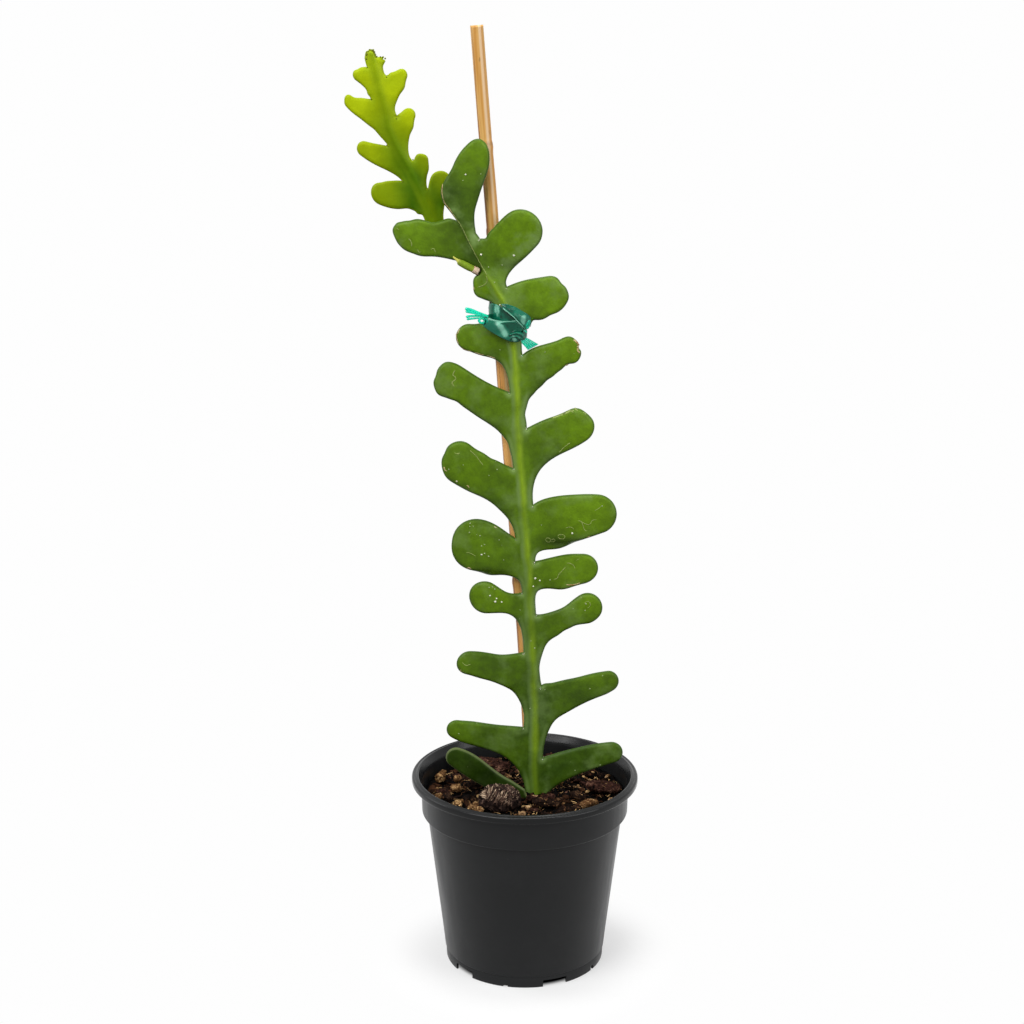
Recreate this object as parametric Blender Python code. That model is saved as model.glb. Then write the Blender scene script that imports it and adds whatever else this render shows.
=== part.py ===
"""Potted fishbone cactus: nursery pot, potting mix with loose bark, lobed stems and a tied bamboo cane.

Lengths in the helpers are in millimetres; make_object turns them into metres. +X is the plant's right,
-Y its front and +Z up. The origin is the middle of the pot's underside.
"""

import math
import random

import bmesh
import bpy
from mathutils import Matrix, Vector
from mathutils.bvhtree import BVHTree
from mathutils.geometry import delaunay_2d_cdt

MM = 0.001
GAP = 0.3

# Pot
POT_SEGMENTS = 60
RIM_RADIUS = 60.0
RIM_TOP = 104.0
LIP_UNDERSIDE = 100.0
COLLAR_RADIUS_TOP = 55.3
COLLAR_RADIUS_FOOT = 54.6
COLLAR_FOOT = 83.5
BODY_RADIUS_TOP = 51.9
BODY_RADIUS_FOOT = 42.9
FOOT_RADIUS = 42.3
FOOT_HEIGHT = 5.9
WALL = 1.2
PAD_RADIUS = 14.0
FOOT_NOTCHES = 5
NOTCH_TURN = 22.0
NOTCH_WIDTH_DEG = 18.0
NOTCH_HEIGHT = 3.9
SLOT_WIDTH = 2.5
SLOT_HEIGHT = 2.5
DRAIN_HOLES = 5
DRAIN_RADIUS = 4.0
DRAIN_CIRCLE = 30.0
CUTTER_DEPTH = 6.0
CUTTER_DROP = 2.0

# Potting mix
SOIL_LEVEL = 93.0
SOIL_RADIUS = 53.1
SOIL_SECTORS = 40

# Cane
CANE_RADIUS = 3.2
CANE_ROUTE = [
    (6.5, 10.0, 9.0), (3.8, 9.6, 93.0), (-0.2, 9.2, 172.0), (-5.3, 8.6, 240.0),
    (-11.6, 7.7, 320.0), (-16.6, 7.4, 395.0), (-20.3, 7.2, 440.0), (-23.9, 7.0, 489.0),
]
CANE_NODES = [118.0, 207.0, 296.0, 389.0, 431.0]

# Stem blade
STEM_LOBE_HALF = 1.7
STEM_RIB_HALF = 3.7
STEM_EDGE_ROUND = 2.0
SHOOT_LOBE_HALF = 1.2
SHOOT_RIB_HALF = 2.1


class Lobe:
    """One rounded tooth of a flat stem.

    axil is the notch above it, tip and radius its round end. rise, crown and belly are slopes in degrees,
    measured up from straight outward: of the upper edge at the notch, and of the upper and lower edges
    where they meet the round end. reach and web are how far the lower edge runs on straight from the
    round end and, at its lower end, along the stem. lean is how far the tip stands behind the blade.
    """

    def __init__(self, side, axil, tip, radius, rise, crown, belly, reach, web, lean=0.0):
        self.side = side
        self.axil = Vector(axil)
        self.tip = Vector(tip)
        self.radius = radius
        self.rise = math.radians(rise)
        self.crown = math.radians(crown)
        self.belly = math.radians(belly)
        self.reach = reach
        self.web = web
        self.lean = lean

    def outward(self, angle):
        return Vector((self.side * math.cos(angle), math.sin(angle)))

    def upper_end(self):
        return self.tip + self.radius * Vector((-self.side * math.sin(self.crown), math.cos(self.crown)))

    def lower_end(self):
        return self.tip + self.radius * Vector((self.side * math.sin(self.belly), -math.cos(self.belly)))


def bezier(a, b, c, d, steps):
    """Points of a cubic curve, without its last point."""
    points = []
    for i in range(steps):
        t = i / steps
        s = 1.0 - t
        points.append(a * s ** 3 + b * 3 * s * s * t + c * 3 * s * t * t + d * t ** 3)
    return points


def lobe_outline(lobe, foot, stem_up, steps):
    """Points from the lobe's notch out over its tip and back in, stopping short of the next notch."""
    start = lobe.axil
    top = lobe.upper_end()
    low = lobe.lower_end()
    pull = 0.36 * (top - start).length
    points = bezier(start, start + pull * lobe.outward(lobe.rise),
                    top - pull * lobe.outward(lobe.crown), top, steps)
    sweep = math.pi + lobe.crown - lobe.belly
    arc_steps = max(4, round(sweep / math.pi * steps * 1.4))
    for i in range(arc_steps):
        angle = math.pi / 2 + lobe.crown - sweep * i / arc_steps
        points.append(lobe.tip + lobe.radius * Vector((lobe.side * math.cos(angle), math.sin(angle))))
    points += bezier(low, low - lobe.reach * lobe.outward(lobe.belly),
                     foot + lobe.web * stem_up, foot, steps + 1)
    return points


# Main stem, from the soil up. Distances in millimetres in the plane of the blade (x, z).
RIGHT_LOBES = [
    Lobe(1, (9.7, 112.5), (46.0, 116.2), 5.8, 18, 8, 20, 20, 9, -2.0),
    Lobe(1, (8.5, 152.4), (43.9, 154.2), 5.5, 16, 6, 27, 20, 24, 2.5),
    Lobe(1, (6.1, 192.1), (32.0, 195.2), 8.2, 0, 30, 2, 19, 25, -2.0),
    Lobe(1, (5.1, 220.5), (29.5, 216.2), 8.4, 14, 0, 8, 27, 17, 2.0),
    Lobe(1, (4.0, 250.7), (37.1, 246.2), 9.9, 34, 0, 20, 30, 10, -3.0),
    Lobe(1, (0.8, 291.0), (26.2, 292.3), 9.0, 28, 20, 32, 18, 23, 2.0),
    Lobe(1, (-1.5, 328.7), (20.8, 330.2), 7.2, 42, 24, 28, 17, 26, -1.5),
    Lobe(1, (-9.3, 362.7), (12.6, 359.8), 8.1, 24, 10, 34, 12, 13, 2.0),
    Lobe(1, (-22.6, 386.8), (-1.4, 391.0), 9.5, 24, 40, 42, 15, 5, -2.5),
]
LEFT_LOBES = [
    Lobe(-1, (-0.6, 129.4), (-36.0, 127.6), 5.5, 0, 6, 34, 15, 32, 1.5),
    Lobe(-1, (-0.8, 171.3), (-29.1, 165.2), 6.6, -12, 4, 12, 18, 24, -2.5),
    Lobe(-1, (-1.8, 204.1), (-20.4, 201.2), 8.2, -12, 26, -2, 12, 23, 2.0),
    Lobe(-1, (-5.0, 233.1), (-24.6, 229.6), 13.4, 34, 8, 13, 22, 10, -3.0),
    Lobe(-1, (-6.3, 270.2), (-32.4, 273.5), 10.3, 20, 32, 28, 17, 17, 2.5),
    Lobe(-1, (-8.1, 309.6), (-37.6, 316.0), 8.9, 22, 30, 26, 20, 22, -2.5),
    Lobe(-1, (-13.4, 347.6), (-28.2, 337.4), 6.7, -20, 4, 12, 16, 16, 1.0),
    Lobe(-1, (-22.0, 370.8), (-21.4, 361.6), 4.6, -50, -80, -24, 3, 2, 0.0),
]
STEM_RIB = [(5.5, 72), (5.4, 138), (3.7, 172), (2.3, 215), (-0.9, 253), (-3.4, 291), (-5.7, 331),
            (-7.9, 345), (-10.8, 355), (-15.0, 362), (-21.0, 371.5), (-30.6, 389), (-36.0, 397.6)]
STEM_CORE_FOOT = [Vector((11.6, 88.0)), Vector((9.6, 72.0)), Vector((5.6, 68.0)),
                  Vector((1.8, 72.0)), Vector((0.6, 88.0))]

# Terminal lobe: where its free left edge starts, its shoulder, its round end and the notch on its right
TERMINAL_START = Vector((-22.0, 370.8))
TERMINAL_SHOULDER = Vector((-41.9, 410.5))
TERMINAL_TIP = Vector((-23.2, 428.4))
TERMINAL_RADIUS = 6.3
TERMINAL_FROM = 146.0
TERMINAL_TO = -16.0
TERMINAL_NOTCH = Vector((-24.6, 389.6))
STEM_FORWARD = 1.6
STEM_REACH = 34.0

# Third wing of the stem, behind the terminal lobe
BACK_WING = Lobe(-1, (-29.0, 394.5), (-57.6, 388.1), 7.7, 10, 4, 14, 17, 16, 0.0)
BACK_WING_FOOT = Vector((-20.5, 371.6))
BACK_WING_INNER = [Vector((-18.5, 374.0)), Vector((-21.5, 384.0))]
BACK_WING_RIB = [Vector((-20.0, 376.0)), Vector((-27.0, 389.0))]

# Young shoot: left lobes, then right lobes, each from its foot up
SHOOT_LEFT = [
    Lobe(-1, (-61.3, 414.1), (-70.8, 409.2), 5.4, 8, -4, 16, 8, 4),
    Lobe(-1, (-68.4, 431.5), (-79.3, 430.5), 3.5, 16, 0, 30, 8, 4),
    Lobe(-1, (-75.9, 453.8), (-86.2, 453.3), 3.1, 4, 14, 44, 8, 4),
    Lobe(-1, (-77.2, 468.9), (-81.1, 466.0), 2.8, 0, -10, 30, 4, 4),
]
SHOOT_RIGHT = [
    Lobe(1, (-48.6, 410.3), (-42.3, 414.6), 5.2, 76, 68, 78, 5, 6),
    Lobe(1, (-55.7, 424.6), (-51.2, 424.8), 3.7, 62, 60, 80, 6, 3),
    Lobe(1, (-63.5, 444.4), (-57.7, 446.3), 3.7, 56, 46, 66, 6, 7),
    Lobe(1, (-68.1, 464.2), (-60.4, 465.6), 2.9, 38, 22, 60, 6, 6),
    Lobe(1, (-72.6, 474.1), (-70.1, 472.6), 1.9, 26, 14, 60, 1, 1),
]
SHOOT_RIB = [(-44.8, 388), (-47.2, 398), (-56.0, 417.5), (-63.0, 430), (-66.8, 438.5), (-69.2, 450),
             (-72.0, 460), (-74.0, 470), (-74.8, 476)]
SHOOT_NECK = [Vector((-41.4, 390.6)), Vector((-43.2, 387.4)), Vector((-45.8, 386.8)), Vector((-48.2, 389.0)),
              Vector((-50.8, 396.6))]
SHOOT_RIGHT_FOOT = Vector((-40.6, 394.0))
SHOOT_BUD = [Vector((-78.0, 473.4)), Vector((-77.6, 476.2)), Vector((-75.6, 477.6)), Vector((-73.6, 476.6))]
SHOOT_DEPTH = 9.1

# Low segment that leans out over the mix from the stem's foot
BASAL_LOBE = Lobe(-1, (-7.0, 102.0), (-36.2, 115.0), 5.5, 26, 16, 40, 12, 14)
BASAL_NECK = [Vector((-5.4, 90.6)), Vector((-2.4, 85.2)), Vector((1.2, 85.0)), Vector((2.2, 89.0)),
              Vector((0.0, 97.0))]
BASAL_RIB = [Vector((0.0, 88.0)), Vector((-8.0, 97.0)), Vector((-34.0, 113.0))]
BASAL_DEPTH = -6.6

# Stub of a removed shoot, from its neck to its cut end
STUB_ROUTE = [Vector((-36.6, 1.4, 375.9)), Vector((-34.9, 0.9, 375.2)), Vector((-34.1, 0.0, 374.7)),
              Vector((-32.8, -0.4, 374.1)), Vector((-26.2, -1.0, 371.7)), Vector((-24.2, -1.2, 371.0))]
STUB_RADII = [0.6, 0.8, 1.6, 2.05, 2.05, 2.05]

# Loose pieces on the mix
DARK_PEAT = (0.030, 0.020, 0.016)
LOOSE_COLOURS = {
    "husk_fibre": (0.10, 0.055, 0.045),
    "dark_bark": (0.085, 0.040, 0.028),
    "red_bark": (0.13, 0.055, 0.040),
    "tan_cork": (0.42, 0.27, 0.14),
    "pale_wood": (0.62, 0.50, 0.34),
}
# name, x, y, length, width, height, turn, tilt, depth pressed in, colour
LOOSE_PIECES = [
    ("husk_lump", -11.4, -21.6, 21.0, 13.6, 13.0, -8, 0, 2.6, "husk_fibre"),
    ("bark_slab", 41.4, -1.6, 20.0, 11.0, 5.0, 8, 10, 1.2, "red_bark"),
    ("cork_knob_left", -45.6, 12.2, 7.0, 5.6, 6.0, 60, 0, 0.8, "tan_cork"),
    ("cork_knob_front", -45.4, -12.0, 5.2, 4.4, 3.6, 20, 0, 0.4, "tan_cork"),
    ("cork_crumb", -36.4, 12.4, 5.6, 4.6, 4.6, 70, 0, 0.6, "tan_cork"),
    ("cork_lump", -36.4, -1.2, 7.4, 5.6, 5.2, -20, 0, 0.8, "tan_cork"),
    ("bark_lump_left", -25.8, 3.6, 9.0, 6.6, 4.6, 12, 0, 0.6, "dark_bark"),
    ("cork_ball", -35.2, -22.8, 5.6, 5.4, 5.2, 0, 0, 0.6, "pale_wood"),
    ("cork_chunk", -25.8, -30.6, 9.6, 6.4, 5.4, -10, 0, 0.8, "tan_cork"),
    ("red_flake_middle", 4.2, -13.2, 7.6, 4.0, 2.6, -12, 10, 0.0, "red_bark"),
    ("red_flake_right", 12.2, -12.0, 7.6, 5.0, 3.0, 10, -8, 0.0, "red_bark"),
    ("bark_strip", 11.0, -21.6, 16.0, 6.6, 3.6, 14, 12, 0.6, "tan_cork"),
    ("folded_chip", 27.8, -10.6, 9.0, 6.0, 3.6, -8, 18, 0.4, "tan_cork"),
    ("rough_chip", 33.2, -21.4, 10.0, 5.6, 4.4, 22, 0, 0.6, "tan_cork"),
    ("bark_heap_back", -18.5, 30.5, 23.0, 11.0, 6.4, -24, 0, 1.2, "red_bark"),
    ("bark_crumb_back", 15.0, 46.6, 7.6, 4.0, 3.0, 0, 0, 0.3, "red_bark"),
    ("pale_sliver_right", 44.6, 17.6, 5.4, 2.2, 2.0, 70, 30, 0.0, "pale_wood"),
    ("pale_sliver_front", 45.0, -12.4, 4.6, 2.2, 2.0, 62, 20, 0.0, "pale_wood"),
    ("pale_sliver_middle", 28.4, 4.6, 5.0, 2.0, 1.6, -28, 0, 0.0, "pale_wood"),
    ("pale_sliver_foot", 4.2, -8.4, 6.4, 2.2, 1.6, 4, 0, 0.0, "pale_wood"),
    ("bark_lump_front", -41.0, -15.8, 8.0, 5.2, 3.4, -64, 0, 0.4, "dark_bark"),
    ("pale_grit_front", 1.6, -24.4, 3.4, 2.8, 2.6, 50, 0, 0.2, "pale_wood"),
    ("pale_grit_low", -1.6, -32.6, 4.6, 3.0, 2.8, 10, 0, 0.2, "pale_wood"),
    ("bark_chip_front", 21.0, -29.0, 9.0, 5.0, 3.6, 10, 0, 0.4, "dark_bark"),
    ("bark_chip_back", -34.0, 33.0, 9.0, 5.0, 3.4, 30, 0, 0.4, "dark_bark"),
    ("bark_chip_right", 34.0, 21.0, 7.0, 3.6, 2.6, -20, 0, 0.3, "dark_bark"),
]


def clear_scene():
    for item in list(bpy.data.objects):
        bpy.data.objects.remove(item, do_unlink=True)


def make_material(name, colour, roughness, metallic=0.0):
    material = bpy.data.materials.new(name)
    material.use_nodes = True
    shader = material.node_tree.nodes["Principled BSDF"]
    shader.inputs["Base Color"].default_value = (*colour, 1.0)
    shader.inputs["Roughness"].default_value = roughness
    shader.inputs["Metallic"].default_value = metallic
    material.diffuse_color = (*colour, 1.0)
    return material


def make_object(name, bm, material=None, smooth_angle=None, location=(0, 0, 0)):
    """Turns a millimetre bmesh into an object in metres with its faces pointing out."""
    bmesh.ops.recalc_face_normals(bm, faces=bm.faces)
    bmesh.ops.scale(bm, vec=(MM, MM, MM), verts=bm.verts)
    mesh = bpy.data.meshes.new(name)
    bm.to_mesh(mesh)
    bm.free()
    if smooth_angle is not None:
        mesh.shade_smooth()
        mesh.set_sharp_from_angle(angle=math.radians(smooth_angle))
    if material:
        mesh.materials.append(material)
    item = bpy.data.objects.new(name, mesh)
    item.location = Vector(location) * MM
    bpy.context.collection.objects.link(item)
    return item


def combine(target, other, operation):
    """Applies a Boolean of the other object to the target, and removes the other object."""
    modifier = target.modifiers.new("cut", "BOOLEAN")
    modifier.operation = operation
    modifier.object = other
    modifier.solver = "EXACT"
    graph = bpy.context.evaluated_depsgraph_get()
    mesh = bpy.data.meshes.new_from_object(target.evaluated_get(graph))
    target.modifiers.clear()
    target.data = mesh
    bpy.data.objects.remove(other, do_unlink=True)
    return target


def swollen_copy(source, amount, name="cutter"):
    """A copy of a solid with every point moved out along its normal."""
    bm = bmesh.new()
    bm.from_mesh(source.data)
    bmesh.ops.triangulate(bm, faces=bm.faces)
    bm.normal_update()
    moves = [(vert, vert.normal * amount) for vert in bm.verts]
    for vert, move in moves:
        vert.co = vert.co / MM + move
    copy = make_object(name, bm)
    copy.location = source.location
    return copy


def turned(profile, segments):
    """A solid of revolution from an open (r, z) profile whose ends lie on the axis."""
    bm = bmesh.new()
    rings = []
    for radius, height in profile:
        if radius < 1e-6:
            rings.append([bm.verts.new((0, 0, height))])
            continue
        ring = []
        for i in range(segments):
            angle = 2 * math.pi * i / segments
            ring.append(bm.verts.new((radius * math.sin(angle), -radius * math.cos(angle), height)))
        rings.append(ring)
    for low, high in zip(rings, rings[1:]):
        for i in range(segments):
            j = (i + 1) % segments
            corners = [low[i % len(low)], low[j % len(low)], high[j % len(high)], high[i % len(high)]]
            face = []
            for corner in corners:
                if corner not in face:
                    face.append(corner)
            bm.faces.new(face)
    return bm


def swept(rings):
    """A solid through equal rings of points, closed flat at both ends."""
    bm = bmesh.new()
    loops = [[bm.verts.new(point) for point in ring] for ring in rings]
    count = len(rings[0])
    for low, high in zip(loops, loops[1:]):
        for i in range(count):
            j = (i + 1) % count
            bm.faces.new((low[i], low[j], high[j], high[i]))
    bm.faces.new(loops[0][::-1])
    bm.faces.new(loops[-1])
    return bm


# ---------------------------------------------------------------- pot

def pot_profile():
    """Wall, lip and base, from the underside's middle out, up, over the lip and down inside."""
    outer = [
        (0, 0), (PAD_RADIUS, 0), (PAD_RADIUS + 1.2, FOOT_HEIGHT - 0.2),
        (FOOT_RADIUS - 1.5, FOOT_HEIGHT - 0.2), (FOOT_RADIUS - 1.3, 0), (FOOT_RADIUS - 0.2, 0),
        (FOOT_RADIUS, 0.5), (FOOT_RADIUS + 0.25, FOOT_HEIGHT), (BODY_RADIUS_FOOT, FOOT_HEIGHT + 0.4),
        (BODY_RADIUS_TOP, COLLAR_FOOT + 0.2), (COLLAR_RADIUS_FOOT - 0.3, COLLAR_FOOT),
        (COLLAR_RADIUS_FOOT, COLLAR_FOOT + 0.5), (COLLAR_RADIUS_TOP, LIP_UNDERSIDE + 0.8),
        (RIM_RADIUS - 1.5, LIP_UNDERSIDE + 0.9), (RIM_RADIUS - 0.9, LIP_UNDERSIDE),
    ]
    lip = []
    middle = (RIM_RADIUS - 2.0, RIM_TOP - 2.0)
    for degrees in (-35, 0, 35, 70, 100, 130, 160):
        angle = math.radians(degrees)
        lip.append((middle[0] + 2.0 * math.cos(angle), middle[1] + 2.0 * math.sin(angle)))
    floor = FOOT_HEIGHT - 0.2 + WALL
    inner = [
        (COLLAR_RADIUS_TOP - WALL, LIP_UNDERSIDE - 1.5), (COLLAR_RADIUS_FOOT - WALL, COLLAR_FOOT + 2.0),
        (BODY_RADIUS_TOP - WALL, COLLAR_FOOT - 0.5), (BODY_RADIUS_FOOT - WALL + 0.2, floor + 0.6),
        (BODY_RADIUS_FOOT - WALL - 0.6, floor), (PAD_RADIUS + 0.2, floor), (PAD_RADIUS - 1.0, WALL),
        (0, WALL),
    ]
    return outer + lip + inner


def box_cutter(bm, width, depth, height, radius, bottom, degrees):
    """Adds a box that straddles the foot ring at one bearing, measured from the front towards +X."""
    turn = Matrix.Rotation(math.radians(degrees), 4, "Z")
    shift = Matrix.Translation((0, -radius, bottom + height / 2))
    stretch = Matrix.Diagonal((width, depth, height, 1))
    bmesh.ops.create_cube(bm, size=1.0, matrix=turn @ shift @ stretch)


def build_pot():
    material = make_material("pot_plastic", (0.026, 0.027, 0.029), 0.42)
    pot = make_object("nursery_pot", turned(pot_profile(), POT_SEGMENTS), material, 40)
    cutters = bmesh.new()
    notch_width = 2 * FOOT_RADIUS * math.sin(math.radians(NOTCH_WIDTH_DEG / 2))
    step = 360 / FOOT_NOTCHES
    for i in range(FOOT_NOTCHES):
        bearing = NOTCH_TURN + step * i
        box_cutter(cutters, notch_width, CUTTER_DEPTH, NOTCH_HEIGHT + CUTTER_DROP, FOOT_RADIUS - 0.5,
                   -CUTTER_DROP, bearing)
        box_cutter(cutters, SLOT_WIDTH, CUTTER_DEPTH, SLOT_HEIGHT + CUTTER_DROP, FOOT_RADIUS - 0.5,
                   -CUTTER_DROP, bearing + step / 2)
    for i in range(DRAIN_HOLES):
        angle = math.radians(NOTCH_TURN + step * (i + 0.5))
        spot = (DRAIN_CIRCLE * math.sin(angle), -DRAIN_CIRCLE * math.cos(angle), FOOT_HEIGHT)
        bmesh.ops.create_cone(cutters, cap_ends=True, segments=16, radius1=DRAIN_RADIUS,
                              radius2=DRAIN_RADIUS, depth=CUTTER_DEPTH, matrix=Matrix.Translation(spot))
    return combine(pot, make_object("cutter", cutters), "DIFFERENCE")


# ---------------------------------------------------------------- potting mix

def soil_height(x, y):
    """Gentle heaps and hollows of the mix's surface."""
    heaps = 0.55 * math.sin(0.17 * x + 0.6) * math.cos(0.15 * y - 0.4)
    crumbs = 0.35 * math.sin(0.43 * x - 0.31 * y) + 0.25 * math.cos(0.37 * x + 0.52 * y + 1.0)
    return SOIL_LEVEL + heaps + crumbs


def build_soil():
    material = make_material("potting_mix", DARK_PEAT, 0.95)
    floor = FOOT_HEIGHT - 0.2 + WALL + GAP
    side = [
        (0, WALL + GAP), (PAD_RADIUS - 1.4, WALL + GAP), (PAD_RADIUS - 0.2, floor),
        (BODY_RADIUS_FOOT - WALL - 1.2, floor), (BODY_RADIUS_FOOT - WALL - 0.4, floor + 1.0),
        (BODY_RADIUS_TOP - WALL - 0.6, COLLAR_FOOT - 0.3), (SOIL_RADIUS - 0.4, COLLAR_FOOT + 2.5),
    ]
    bm = turned(side + [(SOIL_RADIUS * (9 - i) / 9, SOIL_LEVEL) for i in range(10)], SOIL_SECTORS)
    for vert in bm.verts:
        if vert.co.z > SOIL_LEVEL - 0.5:
            vert.co.z = soil_height(vert.co.x, vert.co.y)
    return make_object("potting_mix", bm, material, 50)


# ---------------------------------------------------------------- stems

def smooth_route(points, spacing):
    """A smooth curve through the points (Catmull-Rom), with a point about every spacing."""
    route = []
    vectors = [Vector(point) for point in points]
    for i in range(len(vectors) - 1):
        before = vectors[max(i - 1, 0)]
        a, b = vectors[i], vectors[i + 1]
        after = vectors[min(i + 2, len(vectors) - 1)]
        steps = max(1, round((b - a).length / spacing))
        for k in range(steps):
            t = k / steps
            route.append(0.5 * (2 * a + (b - before) * t + (2 * before - 5 * a + 4 * b - after) * t * t
                                + (3 * a - before - 3 * b + after) * t ** 3))
    route.append(vectors[-1])
    return route


def distance_to_path(point, path, closed=False):
    """Shortest distance from a point to a polyline."""
    best = 1e9
    last = len(path) if closed else len(path) - 1
    for i in range(last):
        a, b = path[i], path[(i + 1) % len(path)]
        side = b - a
        t = max(0.0, min(1.0, (point - a).dot(side) / max(side.length_squared, 1e-12)))
        best = min(best, (point - a - t * side).length)
    return best


def inside(point, loop):
    """True where a point lies within a closed outline."""
    found = False
    for i, a in enumerate(loop):
        b = loop[i - 1]
        if (a.y > point.y) != (b.y > point.y):
            if point.x < (b.x - a.x) * (point.y - a.y) / (b.y - a.y) + a.x:
                found = not found
    return found


def inset_loop(loop, amount):
    """The outline moved inwards; the outline runs clockwise seen from the front."""
    moved = []
    for i, point in enumerate(loop):
        ahead = loop[(i + 1) % len(loop)] - point
        behind = point - loop[i - 1]
        run = (ahead.normalized() + behind.normalized())
        run = run.normalized() if run.length > 1e-6 else ahead.normalized()
        inward = Vector((run.y, -run.x))
        moved.append(point + inward * amount)
    return moved


def blade(name, loop, rib, thickness, depth, spacing, material):
    """A flat stem: round-edged, thickest along its rib, with its middle surface at depth(x, z)."""
    if sum(a.x * b.y - b.x * a.y for a, b in zip(loop, loop[1:] + loop[:1])) > 0:
        loop = loop[::-1]
    inner = [p for p, source in zip(inset_loop(loop, 0.9), loop) if inside(p, loop)
             and distance_to_path(p, loop, True) > 0.6]
    fill = []
    low_x = min(p.x for p in loop)
    low_z = min(p.y for p in loop)
    columns = int((max(p.x for p in loop) - low_x) / spacing) + 2
    rows = int((max(p.y for p in loop) - low_z) / (spacing * 0.866)) + 2
    for row in range(rows):
        for column in range(columns):
            point = Vector((low_x + (column + 0.5 * (row % 2)) * spacing, low_z + row * spacing * 0.866))
            if inside(point, loop) and distance_to_path(point, loop, True) > 2.4:
                if distance_to_path(point, rib) > 2.2:
                    fill.append(point)
    for point in smooth_route(rib, spacing)[1:]:
        if inside(point, loop) and distance_to_path(point, loop, True) > 1.6:
            fill.append(point)
    points = loop + inner + fill
    ring = [(i, (i + 1) % len(loop)) for i in range(len(loop))]
    result = delaunay_2d_cdt(points, ring, [], 1, 1e-5)
    flat, triangles = result[0], result[2]
    bm = bmesh.new()
    front, back = [], []
    for point in flat:
        point = Vector(point)
        middle = depth(point.x, point.y)
        half = thickness(point, distance_to_path(point, loop, True), distance_to_path(point, rib))
        front.append(bm.verts.new((point.x, middle - half, point.y)))
        back.append(bm.verts.new((point.x, middle + half, point.y)))
    uses = {}
    for triangle in triangles:
        bm.faces.new([front[i] for i in triangle])
        bm.faces.new([back[i] for i in reversed(triangle)])
        for i in range(3):
            side = (triangle[i], triangle[(i + 1) % 3])
            uses[side] = True
    for a, b in uses:
        if (b, a) not in uses:
            bm.faces.new((front[b], front[a], back[a], back[b]))
    return make_object(name, bm, material, 50)


def blade_thickness(lobe_half, rib_half, rib_width):
    def half(point, edge, rib_distance):
        round_off = math.sqrt(1.0 - (1.0 - min(edge / STEM_EDGE_ROUND, 1.0)) ** 2)
        rib = (rib_half - lobe_half) * math.exp(-((rib_distance / rib_width) ** 2))
        return max(0.35, round_off * (lobe_half + rib))
    return half


def lean_field(lobes, rib, reach):
    """How far the blade's middle surface stands back, blended from the leans of the lobes nearby."""
    def depth(x, z):
        point = Vector((x, z))
        from_rib = distance_to_path(point, rib)
        total, weights = 0.0, 1e-9
        for lobe in lobes:
            near = distance_to_path(point, [lobe.axil + Vector((0, -4)), lobe.tip])
            weight = math.exp(-((near / 7.0) ** 2))
            total += weight * lobe.lean
            weights += weight
        return total / weights * min(from_rib / reach, 1.2) ** 1.6
    return depth


def side_outline(lobes, foot, steps, rib):
    """One side of a stem, from the top lobe's notch down to the foot."""
    points = []
    for i in range(len(lobes) - 1, -1, -1):
        below = lobes[i - 1].axil if i else foot
        nearest = min(range(len(rib) - 1), key=lambda k: ((rib[k] + rib[k + 1]) / 2 - below).length)
        stem_up = (rib[nearest + 1] - rib[nearest]).normalized()
        points += lobe_outline(lobes[i], below, stem_up, steps)
    return points


def terminal_rim(degrees):
    """A point of the terminal lobe's round end."""
    angle = math.radians(degrees)
    return TERMINAL_TIP + TERMINAL_RADIUS * Vector((math.cos(angle), math.sin(angle)))


def terminal_outline(steps):
    """The lobe that ends the stem: up its free left edge, over the tip and down its right edge."""
    start, shoulder, notch = TERMINAL_START, TERMINAL_SHOULDER, TERMINAL_NOTCH
    left = terminal_rim(TERMINAL_FROM)
    right = terminal_rim(TERMINAL_TO)
    points = bezier(start, start + Vector((-6.2, 13.6)), shoulder + Vector((2.2, -9.6)), shoulder, steps + 4)
    points += bezier(shoulder, shoulder + Vector((-0.2, 4.4)), left + Vector((-5.6, -8.6)), left, steps)
    for i in range(steps + 1):
        share = i / (steps + 1)
        points.append(terminal_rim(TERMINAL_FROM + (TERMINAL_TO - TERMINAL_FROM) * share))
    points += bezier(right, right + Vector((-4.4, -14.4)), notch + Vector((-2.6, 10.5)), notch, steps + 1)
    points.append(notch)
    return points


def stem_outline(steps):
    """The whole main blade: left side up, terminal lobe, right side down, buried foot."""
    rib = [Vector(point) for point in STEM_RIB]
    left = side_outline(LEFT_LOBES, STEM_CORE_FOOT[4], steps, rib)
    right = side_outline(RIGHT_LOBES, STEM_CORE_FOOT[0], steps, rib)
    return list(STEM_CORE_FOOT) + left[::-1] + terminal_outline(steps)[1:] + right


def wing_depth(x, z):
    """The back wing's middle surface, swinging back from the stem."""
    return 1.2 + 3.6 * max(0.0, (-22.0 - x) / 24.0) ** 1.1


def build_main_stem():
    material = make_material("mature_stem", (0.075, 0.165, 0.028), 0.42)
    rib = [Vector(point) for point in STEM_RIB]
    depth = lean_field(RIGHT_LOBES + LEFT_LOBES, rib, STEM_REACH)

    def stem_depth(x, z):
        rise = (z - TERMINAL_START.y) / (TERMINAL_NOTCH.y + 6.0 - TERMINAL_START.y)
        return depth(x, z) - STEM_FORWARD * min(max(rise, 0.0), 1.0)

    stem = blade("main_stem", stem_outline(4), rib, blade_thickness(STEM_LOBE_HALF, STEM_RIB_HALF, 4.2),
                 stem_depth, 8.5, material)
    outline = lobe_outline(BACK_WING, BACK_WING_FOOT, Vector((-0.97, 0.31)), 5) + BACK_WING_INNER
    wing = blade("wing", outline, BACK_WING_RIB, blade_thickness(STEM_LOBE_HALF, 2.4, 4.0), wing_depth,
                 7.0, material)
    return combine(stem, wing, "UNION")


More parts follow.
